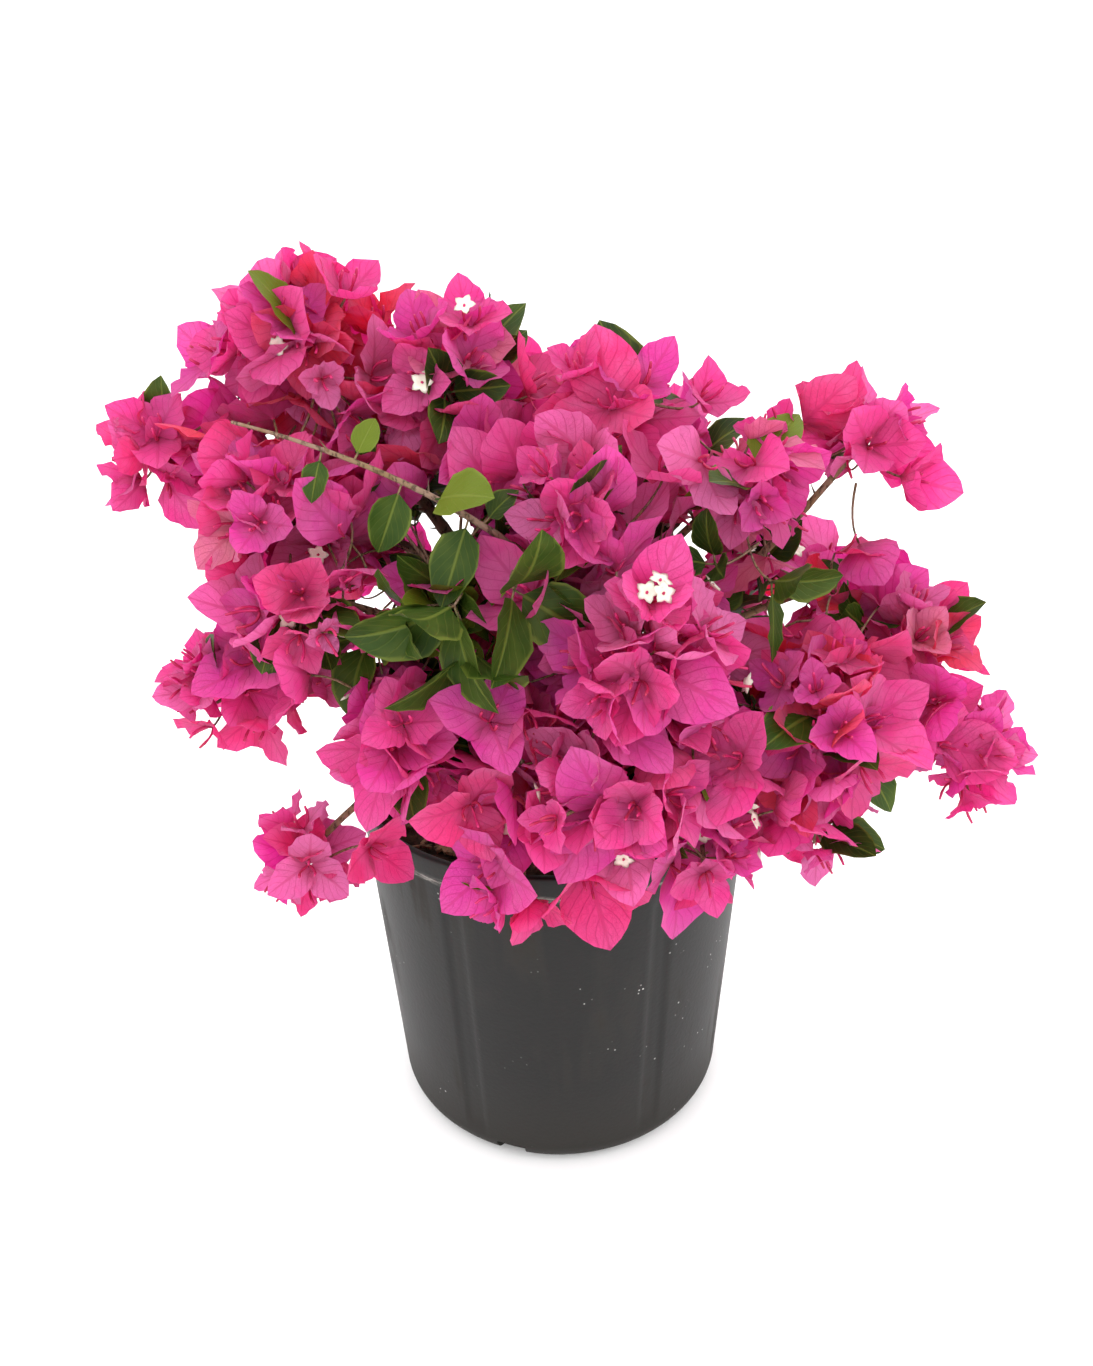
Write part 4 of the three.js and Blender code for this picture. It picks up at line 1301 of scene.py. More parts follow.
def bract_material(name, colour, deep, pale):
    """Papery bract: a plain tint, deeper at its root, paler in blotches and towards its tip, partly from
    its own fading and partly as painted highlight, with fine raised veins and light through it.
    """
    material, tree, output, place = start_material(name)
    lengthwise, _, midrib, side = vein_marks(tree, place, 0.42, 0.09)
    net = add(
        tree,
        "ShaderNodeTexVoronoi",
        {"Vector": place.outputs["UV"], "Scale": 16.0, "Randomness": 1.0},
        feature="DISTANCE_TO_EDGE",
    ).outputs["Distance"]
    mesh_of_veins = ramp(tree, net, 0.0, 0.06, 0.5, 0.0)
    marks = calc(tree, "MAXIMUM", calc(tree, "MAXIMUM", midrib, side), mesh_of_veins)
    # Paler blotches and a paler tip in the rose colour: partly the bract's own fading, partly painted
    # highlight.
    blotch = noise(tree, place.outputs["Object"], BRACT_BLOTCHES, 2.0)
    blotched = ramp(tree, blotch, 0.38, 0.66, 0.0, 0.5)
    fade_and_painted_highlight = calc(tree, "MAXIMUM", blotched, ramp(tree, lengthwise, 0.45, 1.0, 0.0, 0.4))
    tone = blend_colours(tree, fade_and_painted_highlight, colour, pale)
    rooted = blend_colours(tree, ramp(tree, lengthwise, 0.02, 0.34, 0.6, 0.0), tone, deep)
    veined = blend_colours(tree, calc(tree, "MULTIPLY", marks, 0.34), rooted, deep)
    crinkle = noise(tree, place.outputs["Object"], BRACT_CRINKLES, 2.0)
    crumple = noise(tree, place.outputs["Object"], BRACT_CRUMPLES, 3.0, 0.6)
    height = calc(tree, "ADD", marks, calc(tree, "MULTIPLY", crinkle, 1.1))
    height = calc(tree, "MULTIPLY_ADD", crumple, 3.2, height)
    inputs = {
        "Base Color": veined,
        "Roughness": 0.62,
        "Specular IOR Level": 0.25,
        "Sheen Weight": 0.2,
        "Sheen Roughness": 0.5,
        "Normal": bump(tree, height, BLADE_RELIEF, 0.7),
    }
    finish_surface(tree, output, inputs, through=veined, share=BRACT_GLOW)
    return material


def leaf_material(name, colour, margin):
    """Green leaf: pale midrib and margin, sunk side veins, a soft gloss and a little light through it."""
    material, tree, output, place = start_material(name)
    _, off_midrib, midrib, side = vein_marks(tree, place, 0.5, 0.12)
    blotch = noise(tree, place.outputs["Object"], LEAF_BLOTCHES, 2.0)
    edge = ramp(tree, calc(tree, "MULTIPLY_ADD", blotch, 0.3, off_midrib), 1.0, 1.12)
    tone = blend_colours(tree, ramp(tree, blotch, 0.35, 0.7, 0.0, 0.16), colour, margin)
    edged = blend_colours(tree, calc(tree, "MULTIPLY", edge, 0.5), tone, margin)
    marks = calc(tree, "MAXIMUM", midrib, calc(tree, "MULTIPLY", side, 0.3))
    veined = blend_colours(tree, calc(tree, "MULTIPLY", marks, 0.5), edged, margin)
    height = calc(tree, "SUBTRACT", 1.0, marks)
    inputs = {
        "Base Color": veined,
        "Roughness": 0.5,
        "Specular IOR Level": 0.2,
        "Normal": bump(tree, height, BLADE_RELIEF, 0.6),
    }
    finish_surface(tree, output, inputs, through=veined, share=LEAF_GLOW)
    return material


def plain_material(name, colour, second, roughness, through=0.0):
    """A small soft part, such as a petal or flower tube: two close tones and a fine bump."""
    material, tree, output, place = start_material(name)
    mottle = noise(tree, place.outputs["Object"], SMALL_MOTTLES, 3.0)
    tone = blend_colours(tree, ramp(tree, mottle, 0.35, 0.65), colour, second)
    inputs = {
        "Base Color": tone,
        "Roughness": roughness,
        "Specular IOR Level": 0.3,
        "Normal": bump(tree, mottle, FINE_RELIEF, 0.4),
    }
    finish_surface(tree, output, inputs, through=tone if through else None, share=through)
    return material


def bark_material(name, pale, dark, crack, scale):
    """Bark: long patches of two tones with dark cracks, stretched along the limb's rise."""
    material, tree, output, place = start_material(name)
    stretch = add(tree, "ShaderNodeMapping", {"Vector": place.outputs["Object"], "Scale": (1.0, 1.0, 0.35)})
    patches = noise(tree, stretch.outputs[0], scale, 4.0, 0.6)
    grain = noise(tree, stretch.outputs[0], scale * 4.5, 4.0, 0.65)
    tone = blend_colours(tree, ramp(tree, patches, 0.36, 0.62), dark, pale)
    cracks = ramp(tree, grain, 0.38, 0.47, 1.0, 0.0)
    marked = blend_colours(tree, calc(tree, "MULTIPLY", cracks, 0.75), tone, crack)
    height = calc(tree, "SUBTRACT", calc(tree, "MULTIPLY", grain, 1.4), cracks)
    inputs = {
        "Base Color": marked,
        "Roughness": 0.86,
        "Specular IOR Level": 0.2,
        "Normal": bump(tree, height, BARK_RELIEF, 0.8),
    }
    finish_surface(tree, output, inputs)
    return material


def pot_material(colours):
    """Weathered black plastic: dusty smudges, white water specks, faint streaks and a scuffed rim edge."""
    material, tree, output, place = start_material("nursery_plastic")
    spot = place.outputs["Object"]
    height = add(tree, "ShaderNodeSeparateXYZ", {0: spot}).outputs["Z"]
    smudge = noise(tree, spot, POT_SMUDGES, 5.0, 0.62)
    dust = ramp(tree, smudge, 0.42, 0.72)
    streak_place = add(tree, "ShaderNodeMapping", {"Vector": spot, "Scale": (1.0, 1.0, 0.08)})
    streaks = noise(tree, streak_place.outputs[0], POT_STREAKS, 3.0)
    low_dust = ramp(tree, height, 0.0, 0.09, 0.5, 0.0)
    dusty = calc(tree, "MAXIMUM", calc(tree, "MULTIPLY", dust, ramp(tree, streaks, 0.4, 0.7)), low_dust)
    tone = blend_colours(tree, calc(tree, "MULTIPLY", dusty, 0.55), colours.pot, colours.dust)

    band_edge = (POT_HEIGHT - BAND_HEIGHT) * MM
    near_edge = calc(tree, "ABSOLUTE", calc(tree, "SUBTRACT", height, band_edge + SCUFF_ABOVE_EDGE))
    scuff_place = add(tree, "ShaderNodeMapping", {"Vector": spot, "Scale": (1.0, 1.0, 7.0)})
    scuff_noise = noise(tree, scuff_place.outputs[0], POT_SCUFFS, 5.0, 0.7)
    at_edge = ramp(tree, near_edge, 0.0004, SCUFF_REACH, 1.0, 0.0)
    scuffs = calc(tree, "MULTIPLY", at_edge, ramp(tree, scuff_noise, 0.42, 0.66))
    worn = blend_colours(tree, calc(tree, "MULTIPLY", scuffs, 0.7), tone, colours.scuff)

    specks = add(tree, "ShaderNodeTexVoronoi", {"Vector": spot, "Scale": POT_SPECKS, "Randomness": 1.0})
    few = ramp(tree, noise(tree, spot, 40.0, 2.0), 0.6, 0.7)
    dots = calc(tree, "MULTIPLY", ramp(tree, specks.outputs["Distance"], 0.1, 0.17, 1.0, 0.0), few)
    specked = blend_colours(tree, calc(tree, "MULTIPLY", dots, 0.7), worn, colours.speck)
    fine = noise(tree, spot, POT_GRAIN, 3.0)
    inputs = {
        "Base Color": specked,
        "Roughness": ramp(tree, dusty, 0.0, 1.0, 0.48, 0.85),
        "Specular IOR Level": 0.27,
        "Normal": bump(tree, calc(tree, "MULTIPLY_ADD", dots, 0.4, fine), FINE_RELIEF, 0.45),
    }
    finish_surface(tree, output, inputs)
    return material


def soil_material(colours):
    """Potting soil: dark crumbs with paler fibre and a rough, broken surface, with painted shade in the
    hollows of its bump and darker patches.
    """
    material, tree, output, place = start_material("potting_soil")
    spot = place.outputs["Object"]
    crumbs = noise(tree, spot, SOIL_CRUMBS, 6.0, 0.7)
    patches = noise(tree, spot, SOIL_PATCHES, 3.0)
    # Painted shade: the dark colour goes where the crumbs' bump is low, so the hollows are darker, partly
    # the soil's own dark crumbs.
    tone = blend_colours(tree, ramp(tree, crumbs, 0.35, 0.68), colours.dark_soil_and_hollow_shade, colours.soil)
    fibre = ramp(tree, crumbs, 0.64, 0.7)
    flecked = blend_colours(tree, calc(tree, "MULTIPLY", fibre, 0.55), tone, colours.fibre)
    shade = blend_colours(tree, ramp(tree, patches, 0.4, 0.7, 0.0, 0.5), flecked, colours.dark_soil_and_hollow_shade)
    inputs = {
        "Base Color": shade,
        "Roughness": 0.95,
        "Specular IOR Level": 0.15,
        "Normal": bump(tree, crumbs, SOIL_RELIEF, 1.0),
    }
    finish_surface(tree, output, inputs)
    return material


# Sizes and colours


def length_property(name, description, default):
    """A length in metres, up to 200 mm."""
    text = {"name": name, "description": description}
    return FloatProperty(**text, default=default, min=0, max=0.2, unit="LENGTH", subtype="DISTANCE")


def share_property(name, description, default):
    """A share from none to all."""
    text = {"name": name, "description": description}
    return FloatProperty(**text, default=default, min=0, max=1, subtype="FACTOR")


def count_property(name, description, default, most=60):
    """A whole number."""
    return IntProperty(name=name, description=description, default=default, min=0, max=most)


def colour_property(name, description, red, green, blue):
    """A colour by its screen values of 0 to 255."""
    text = {"name": name, "description": description}
    shade = linear(red, green, blue)
    return FloatVectorProperty(**text, default=shade, min=0, max=1, size=3, subtype="COLOR")


class BushSizes(bpy.types.PropertyGroup):
    """How full and how large the finer parts of the bush are."""

    fine_sprays: count_property("Fine sprays", "Finer sprays in a mass of 55 mm reach", 13)
    between_sprays: count_property("Sprays between", "Sprays from such a mass towards its neighbours", 12)
    fine_leaves: count_property("Fine leaves", "Loose green leaves in a leafy mass of 55 mm reach", 4)
    bract_width: share_property("Bract width", "Width of a bract as a share of its length", 0.84)
    leaf_width: share_property("Leaf width", "Width of a leaf as a share of its length", 0.66)
    flower_tube: length_property("Flower tube", "Length of the slender tube inside the bracts", 0.017)
    star_width: length_property("Star width", "Width of an open white flower", 0.012)
    open_flowers: share_property("Open flowers", "Share of the sprays that hold an open flower", 0.07)
    thorn_length: length_property("Thorn length", "Length of a thorn on the canes", 0.009)


class PotSizes(bpy.types.PropertyGroup):
    """How worn and how rough the pot and its soil are."""

    lip_round: length_property("Lip round", "Rounding of the rim's upper edge", 0.0015)
    soil_roughness: length_property("Soil roughness", "Height of the soil's lumps", 0.0035)
    chips: count_property("Chips", "Bits of bark on the soil", 420, 3000)


class BushColours(bpy.types.PropertyGroup):
    """The plain colours of the bush, its pot and its soil."""

    magenta: colour_property("Magenta", "The usual tint of the bracts", 247, 92, 184)
    fuchsia: colour_property("Fuchsia", "A cooler tint of the bracts", 242, 90, 196)
    pink: colour_property("Pink", "A warmer tint of the bracts", 248, 88, 168)
    # Rose is also mixed into the bracts as their paler blotches and tips, partly real fading and partly
    # painted highlight.
    rose: colour_property("Rose", "A lighter tint of the bracts", 246, 144, 206)
    coral: colour_property("Coral", "The redder tint of some bracts", 242, 74, 116)
    # The pale tint of old bracts, which on the top masses is partly painted highlight.
    faded: colour_property("Faded", "The pale tint of old bracts", 242, 158, 186)
    deep: colour_property("Deep", "Roots and veins of the bracts", 200, 42, 108)
    leaf_dark: colour_property("Dark leaf", "Older green leaves", 34, 54, 14)
    leaf: colour_property("Leaf", "Most green leaves", 46, 70, 15)
    leaf_young: colour_property("Young leaf", "New green leaves", 96, 112, 24)
    leaf_margin: colour_property("Leaf margin", "Pale edge of the leaves", 122, 134, 54)
    twig: colour_property("Twig", "Green-brown twigs", 128, 104, 76)
    cane: colour_property("Cane", "Bark of the boughs", 140, 114, 98)
    trunk: colour_property("Trunk", "Bark of the trunk", 140, 116, 98)
    bark_dark: colour_property("Dark bark", "Darker bark and cracks", 74, 56, 46)
    tube: colour_property("Flower tube", "The slender tubes inside the bracts", 172, 40, 76)
    star: colour_property("Star", "The open flowers", 246, 242, 226)
    pot: colour_property("Pot", "Black plastic", 18, 17, 16)
    dust: colour_property("Dust", "Dust on the pot", 58, 53, 46)
    scuff: colour_property("Scuff", "Scuffed edge of the rim", 176, 170, 162)
    speck: colour_property("Speck", "Dried water specks", 196, 194, 190)
    # Soil and dark soil are a lit and a shaded copy: the dark one is painted shade in the soil's hollows,
    # as well as its dark patches and the bark bits' cracks.
    soil: colour_property("Soil", "Soil in the light", 84, 62, 46)
    dark_soil_and_hollow_shade: colour_property("Dark soil", "Soil in its hollows", 36, 26, 20)
    fibre: colour_property("Fibre", "Pale fibre in the soil", 150, 122, 92)


# Pot and soil


def pot_wall_radius(height):
    """The radius of the pot's outer wall, straight from its corner to the foot of its band."""
    band_foot = POT_HEIGHT - BAND_HEIGHT
    share = (height - POT_CORNER) / (band_foot - POT_CORNER)
    return POT_FOOT_RADIUS + share * (POT_RIM_RADIUS - BAND_STEP - POT_FOOT_RADIUS)


def corner_arc(radius, size, low):
    """A quarter circle between the underside and the wall, from the bottom up."""
    turn = np.linspace(0, np.pi / 2, CORNER_STEPS + 1)
    return np.stack([radius - size + size * np.sin(turn), low + size - size * np.cos(turn)], axis=1)


def pot_profile(lip_round):
    """The pot's section from the middle of its underside, up its wall, over its lip and down inside."""
    band_foot = POT_HEIGHT - BAND_HEIGHT
    outer_arc = corner_arc(POT_FOOT_RADIUS, POT_CORNER, 0)
    inner_arc = corner_arc(POT_FOOT_RADIUS - POT_WALL, POT_CORNER - POT_WALL, POT_FLOOR)
    foot = [(radius, 0) for radius in (30, 60, 80, 90)]
    rising = np.linspace(POT_CORNER, band_foot, WALL_ROWS)[1:]
    wall = [(pot_wall_radius(height), height) for height in rising]
    band = [
        (pot_wall_radius(band_foot) + 0.4, band_foot + 0.1),
        (POT_RIM_RADIUS - 0.5, band_foot + 0.5),
        (POT_RIM_RADIUS, band_foot + 1.1),
        (POT_RIM_RADIUS, band_foot + 6),
        (POT_RIM_RADIUS, POT_HEIGHT - 5),
    ]
    mouth = pot_wall_radius(POT_HEIGHT) - POT_WALL
    turn = np.linspace(0, np.pi / 2, 5)
    lip_centre = np.array([POT_RIM_RADIUS - lip_round, POT_HEIGHT - lip_round])
    outer_lip = lip_centre + lip_round * np.stack([np.cos(turn), np.sin(turn)], axis=1)
    inner_lip = [(mouth + 0.8, POT_HEIGHT), (mouth + 0.2, POT_HEIGHT - 0.3), (mouth, POT_HEIGHT - 1)]
    falling = np.linspace(POT_HEIGHT - 4, 24, 12)
    inside = [(pot_wall_radius(height) - POT_WALL, height) for height in falling]
    floor = [(radius, POT_FLOOR) for radius in (80, 40)]
    upper = [*wall, *band, *outer_lip, *inner_lip, *inside]
    profile = np.array([*foot, *outer_arc, *upper, *inner_arc[::-1], *floor], float)
    outer_start = len(foot)
    inner_end = len(foot) + len(outer_arc) + len(upper) + len(inner_arc) - 1
    return profile, outer_start, inner_end


def pot_mesh(lip_round):
    """The section turned round the axis. The wall is pressed in at the channels by an eased step across
    and at both ends, and the drain holes leave squares out of the corner, with walls through it."""
    profile, outer_start, inner_end = pot_profile(lip_round)
    rows = len(profile)
    turn = np.arange(POT_STATIONS) * 2 * np.pi / POT_STATIONS
    radius = np.repeat(profile[:, :1], POT_STATIONS, axis=1)
    height = np.repeat(profile[:, 1:], POT_STATIONS, axis=1)

    spacing = 2 * np.pi / CHANNELS
    off_channel = np.abs((turn + spacing / 2) % spacing - spacing / 2) * radius
    over = np.clip(((CHANNEL_WIDTH + CHANNEL_EASE) / 2 - off_channel) / CHANNEL_EASE, 0, 1)
    ends = np.clip(np.minimum(height - CHANNEL_BOTTOM, CHANNEL_TOP - height) / CHANNEL_END, 0, 1)
    pressed = over * over * (3 - 2 * over) * ends * ends * (3 - 2 * ends) * CHANNEL_DEPTH
    outer = np.arange(rows)[:, None] < outer_start + CORNER_STEPS + WALL_ROWS
    radius = radius - np.where(outer, pressed, 0)

    points = np.stack([radius * np.cos(turn), radius * np.sin(turn), height], axis=-1).reshape(-1, 3)
    points = np.concatenate([points, [[0, 0, 0], [0, 0, POT_FLOOR]]])
    row, column = np.meshgrid(np.arange(rows - 1), np.arange(POT_STATIONS), indexing="ij")
    quads = grid_faces(rows, POT_STATIONS)

    first = outer_start + DRAIN_FIRST_STEP
    last = outer_start + DRAIN_LAST_STEP
    in_rows = ((row >= first) & (row < last)) | (
        (row >= inner_end - DRAIN_LAST_STEP) & (row < inner_end - DRAIN_FIRST_STEP)
    )
    hole_turns = [DRAIN_ANGLE + 360 / DRAIN_HOLES * i for i in range(DRAIN_HOLES)]
    starts = [round(angle - DRAIN_HALF_ANGLE) % 360 for angle in hole_turns]
    in_hole = np.zeros_like(row, dtype=bool)
    for start in starts:
        in_hole |= (column - start) % 360 < 2 * DRAIN_HALF_ANGLE
    quads = quads[~(in_rows & in_hole).ravel()]

    def at(row_number, column_number):
        """A point's number in the mesh."""
        return row_number * POT_STATIONS + column_number % POT_STATIONS

    def inward(row_number):
        """The inner row that faces an outer one."""
        return inner_end - (row_number - outer_start)

    walls = []
    steps = np.arange(first, last)
    near, far = inward(steps), inward(steps + 1)
    low, high = inward(first), inward(last)
    for start in starts:
        end = start + 2 * DRAIN_HALF_ANGLE
        sweep = np.arange(start, end)
        sides = [
            (at(steps + 1, start), at(steps, start), at(near, start), at(far, start)),
            (at(steps, end), at(steps + 1, end), at(far, end), at(near, end)),
            (at(first, sweep), at(first, sweep + 1), at(low, sweep + 1), at(low, sweep)),
            (at(last, sweep + 1), at(last, sweep), at(high, sweep), at(high, sweep + 1)),
        ]
        walls.extend(np.stack(corners, axis=1) for corners in sides)

    under = fan(0, POT_STATIONS, len(points) - 2, False)
    floor = fan((rows - 1) * POT_STATIONS, POT_STATIONS, len(points) - 1, True)
    return points, [quads, *walls, under, floor]


def soil_mesh(lump):
    """A filled pot's soil: straight sides under a top whose height is three layers of smooth noise."""
    corner = POT_CORNER - POT_WALL
    low = POT_FLOOR + GAP
    inset = POT_WALL + 1.5 * GAP
    sides = [
        (60, low),
        (POT_FOOT_RADIUS - inset - corner, low),
        (POT_FOOT_RADIUS - inset - 0.4 * corner, low + 0.35 * corner),
        (POT_FOOT_RADIUS - inset, low + corner),
        (pot_wall_radius(SOIL_TOP) - inset, SOIL_TOP - 1),
    ]
    reach = np.linspace(pot_wall_radius(SOIL_TOP) - inset - 0.6, 2, SOIL_RINGS)
    profile = np.array([*sides, *[(radius, SOIL_TOP) for radius in reach]])
    turn = np.arange(SOIL_STATIONS) * 2 * np.pi / SOIL_STATIONS
    radius = np.repeat(profile[:, :1], SOIL_STATIONS, axis=1)
    height = np.repeat(profile[:, 1:], SOIL_STATIONS, axis=1)
    x = radius * np.cos(turn)
    y = radius * np.sin(turn)
    lumps = sum(
        share * soft_noise(x / size + shift, y / size, seed, NO_REPEAT)
        for size, shift, seed, share in SOIL_LUMPS
    )
    calm = np.clip((reach[0] - radius) / 6, 0, 1)
    top = np.arange(len(profile))[:, None] >= len(sides)
    height = height + np.where(top, lumps * lump * (0.4 + 0.6 * calm) - 0.6 * lump, 0)
    points = np.stack([x, y, height], axis=-1).reshape(-1, 3)
    crest = points[-SOIL_STATIONS:, 2].mean()
    points = np.concatenate([points, [[0, 0, low], [0, 0, crest]]])
    under = fan(0, SOIL_STATIONS, len(points) - 2, False)
    middle = fan((len(profile) - 1) * SOIL_STATIONS, SOIL_STATIONS, len(points) - 1, True)
    return points, [grid_faces(len(profile), SOIL_STATIONS), under, middle]


BOX_CORNERS = np.array([(x, y, z) for z in (-1, 1) for y in (-1, 1) for x in (-1, 1)], float)
BOX_FACES = np.array([(0, 2, 3, 1), (4, 5, 7, 6), (0, 1, 5, 4), (2, 6, 7, 3), (0, 4, 6, 2), (1, 3, 7, 5)])


def chips_mesh(count):
    """Bits of bark: boxes squeezed at one end, turned and strewn evenly over the soil by the seed."""
    item = np.arange(count)
    draw = [chances(CHIP_SEED, item, channel) for channel in range(9)]
    size = np.stack([2 + 5 * draw[0] ** 2, 1.2 + 1.8 * draw[1], 0.5 + 0.7 * draw[2]], axis=1)
    box = BOX_CORNERS[None] * size[:, None]
    squeeze = 1 - (0.25 + 0.5 * draw[3][:, None]) * (BOX_CORNERS[None, :, 0] > 0)
    box[..., 1] *= squeeze
    turn = 2 * np.pi * draw[4]
    tilt = 0.5 * (draw[5] - 0.5)
    east = np.stack([np.cos(turn) * np.cos(tilt), np.sin(turn) * np.cos(tilt), np.sin(tilt)], axis=1)
    north = np.stack([-np.sin(turn), np.cos(turn), np.zeros(count)], axis=1)
    up = np.cross(east, north)
    spread = (pot_wall_radius(SOIL_TOP) - 14) * np.sqrt(draw[6])
    way = 2 * np.pi * draw[7]
    place = np.stack([spread * np.cos(way), spread * np.sin(way), SOIL_TOP + 0.2 + 1.2 * draw[8]], axis=1)
    parts = box[..., :1] * east[:, None] + box[..., 1:2] * north[:, None] + box[..., 2:] * up[:, None]
    points = (place[:, None] + parts).reshape(-1, 3)
    return points, [repeat_faces(BOX_FACES, count, 8)]


class BOUGAINVILLEA_OT_pot(bpy.types.Operator):
    """Make the nursery pot"""

    bl_idname = "bougainvillea.pot"
    bl_label = "Pot"

    def execute(self, context):
        sizes = context.scene.pot_sizes
        points, faces = pot_mesh(sizes.lip_round / MM)
        material = pot_material(context.scene.bush_colours)
        new_piece("nursery_pot", points, faces, material, ["pot"], sharp_from=50)
        return {"FINISHED"}


class BOUGAINVILLEA_OT_soil(bpy.types.Operator):
    """Fill the pot with soil and strew bits of bark on it"""

    bl_idname = "bougainvillea.soil"
    bl_label = "Soil"

    def execute(self, context):
        sizes = context.scene.pot_sizes
        colours = context.scene.bush_colours
        points, faces = soil_mesh(sizes.soil_roughness / MM)
        new_piece("soil_fill", points, faces, soil_material(colours), ["soil"], sharp_from=60)
        chips, chip_faces = chips_mesh(sizes.chips)
        material = bark_material("bark_chips", colours.fibre, colours.soil, colours.dark_soil_and_hollow_shade, 90.0)
        new_piece("bark_bits", chips, chip_faces, material, sharp_from=30)
        return {"FINISHED"}


# Limbs and twigs


def limb_mesh(limb, sides, seed, relief, rounded):
    """A limb as a tube whose radius is its taper, plus a collar at its base, swollen nodes, and bark relief
    from smooth noise that is drawn out along the limb."""
    length = limb.length()
    rings = max(FEWEST_RINGS, int(length / RING_STEP))
    along = np.linspace(0, 1, rings)
    path = limb.point(along)
    distance = along * length
    level = np.zeros(rings)
    sway = [soft_noise(distance / SWAY_STEP, level + k, seed + k, NO_REPEAT) for k in range(3)]
    sway = np.stack(sway, axis=1)
    path = path + LIMB_SWAY * sway * np.sin(np.pi * along)[:, None]
    radius = limb.radius(along) * (1 + COLLAR_SWELL * np.exp(-distance / (2.2 * limb.base)))
    to_node = np.abs((distance + 9 * chance(seed, 5)) % BARK_NODE_STEP - BARK_NODE_STEP / 2)
    radius = radius * (1 + BARK_NODE_SWELL * np.exp(-((to_node / BARK_NODE_HALF) ** 2)))
    if rounded:
        radius = radius * np.sqrt(np.clip((1 - along) / 0.1, 0.02, 1))
    turn = np.arange(sides) / sides
    around = np.repeat(turn[None], rings, axis=0)
    down = np.repeat(distance[:, None], sides, axis=1)
    ridges = soft_noise(around * 9, down / 16, seed + 11, 9)
    ridges = ridges + 0.6 * soft_noise(around * 18, down / 6, seed + 12, 18)
    radii = radius[:, None] * (1 + relief * ridges)
    return tubes(path[None], radii[None], sides)


def flared_trunk(limb):
    """The trunk, with the flare at its foot drawn out into a few root ridges by a wave round it."""
    points, faces = limb_mesh(limb, TRUNK_SIDES, TRUNK_SEED, TRUNK_RELIEF, True)
    rise = np.clip((points[:, 2] - TRUNK_FOOT[2]) / ROOT_RISE, 0, 1)
    offset = points[:, :2] - TRUNK_FOOT[:2]
    turn = np.arctan2(offset[:, 1], offset[:, 0])
    wave = 1 + 0.11 * (1 - rise) ** 2 * np.cos(ROOT_RIDGES * turn + 0.8)
    moved = points.copy()
    moved[:, :2] = TRUNK_FOOT[:2] + offset * wave[:, None]
    moved[:, 2] = np.maximum(moved[:, 2], TRUNK_FOOT[2] - 6)
    return moved, faces


class BOUGAINVILLEA_OT_limbs(bpy.types.Operator):
    """Make the trunk and the boughs with their bark"""

    bl_idname = "bougainvillea.limbs"
    bl_label = "Trunk and boughs"

    def execute(self, context):
        colours = context.scene.bush_colours
        limbs, _ = bush()
        trunk_bark = bark_material("trunk_bark", colours.trunk, colours.cane, colours.bark_dark, 45.0)
        points, faces = flared_trunk(limbs["trunk"])
        new_piece("trunk_stem", points, faces, trunk_bark, ["trunk"])
        boughs = [name for name in limbs if name != "trunk"]
        parts = [
            limb_mesh(limbs[name], CANE_SIDES, CANE_SEED + 20 * i, CANE_RELIEF, False)
            for i, name in enumerate(boughs)
        ]
        boughs.remove("front_cane")
        points, faces = joined(parts)
        cane_bark = bark_material("cane_bark", colours.cane, colours.twig, colours.bark_dark, 85.0)
        new_piece("bough_canes", points, faces, cane_bark, boughs)
        return {"FINISHED"}


def twigs_mesh(growths):
    """Tubes along each mass's stem and each spray's twig, which bends into the spray's axis."""
    rows = []
    for growth in growths:
        if growth.stem:
            start, hub = growth.stem
            rows.append((start + unit(start - hub) * 1.5, (start + hub) / 2, hub, STEM_RADIUS, 1.5))
        for spray in growth.sprays:
            run = np.linalg.norm(spray.node - spray.root)
            bend = spray.node - spray.axis * 0.4 * run
            twig = FINE_TWIG if spray.key[1] >= FINE_KEY else COARSE_TWIG
            rows.append((spray.root, bend, spray.node, *twig))
    starts, middles, ends, thick, thin = (np.array(column) for column in zip(*rows))
    share = np.linspace(0, 1, TWIG_RINGS)
    radii = thick[:, None] * (1 - share) + thin[:, None] * share
    return tubes(curved_paths(starts, middles, ends, TWIG_RINGS), radii, TWIG_SIDES)


def thorns_mesh(limbs, length):
    """Tapering hooked tubes that stand out of the canes at even steps, some of them left out by seed."""
    feet, tips = [], []
    for number, (name, limb) in enumerate(limbs.items()):
        if name == "trunk":
            continue
        for k in range(int(limb.length() / THORN_STEP)):
            along = (k + 0.9 + 0.5 * chance(number, k, 1)) * THORN_STEP / limb.length()
            if along > 0.96 or chance(number, k, 2) < 0.3:
                continue
            here = limb.point(along)
            way = unit(limb.point(min(1, along + 0.05)) - here)
            east, north = across(way)
            turn = GOLDEN_ANGLE * k + number
            out = unit(east * math.cos(turn) + north * math.sin(turn) + 0.45 * way)
            feet.append(here + out * limb.radius(along) * 0.5)
            tips.append(here + out * (limb.radius(along) + length * (0.6 + 0.5 * chance(number, k, 3))))
    feet = np.array(feet)
    tips = np.array(tips)
    sag = (feet + tips) / 2 - np.array([0, 0, 0.6])
    radii = np.full((len(feet), 1), THORN_RADIUS) * np.array([1, 0.8, 0.55, 0.3, 0.06])
    return tubes(curved_paths(feet, sag, tips, 5), radii, 5)


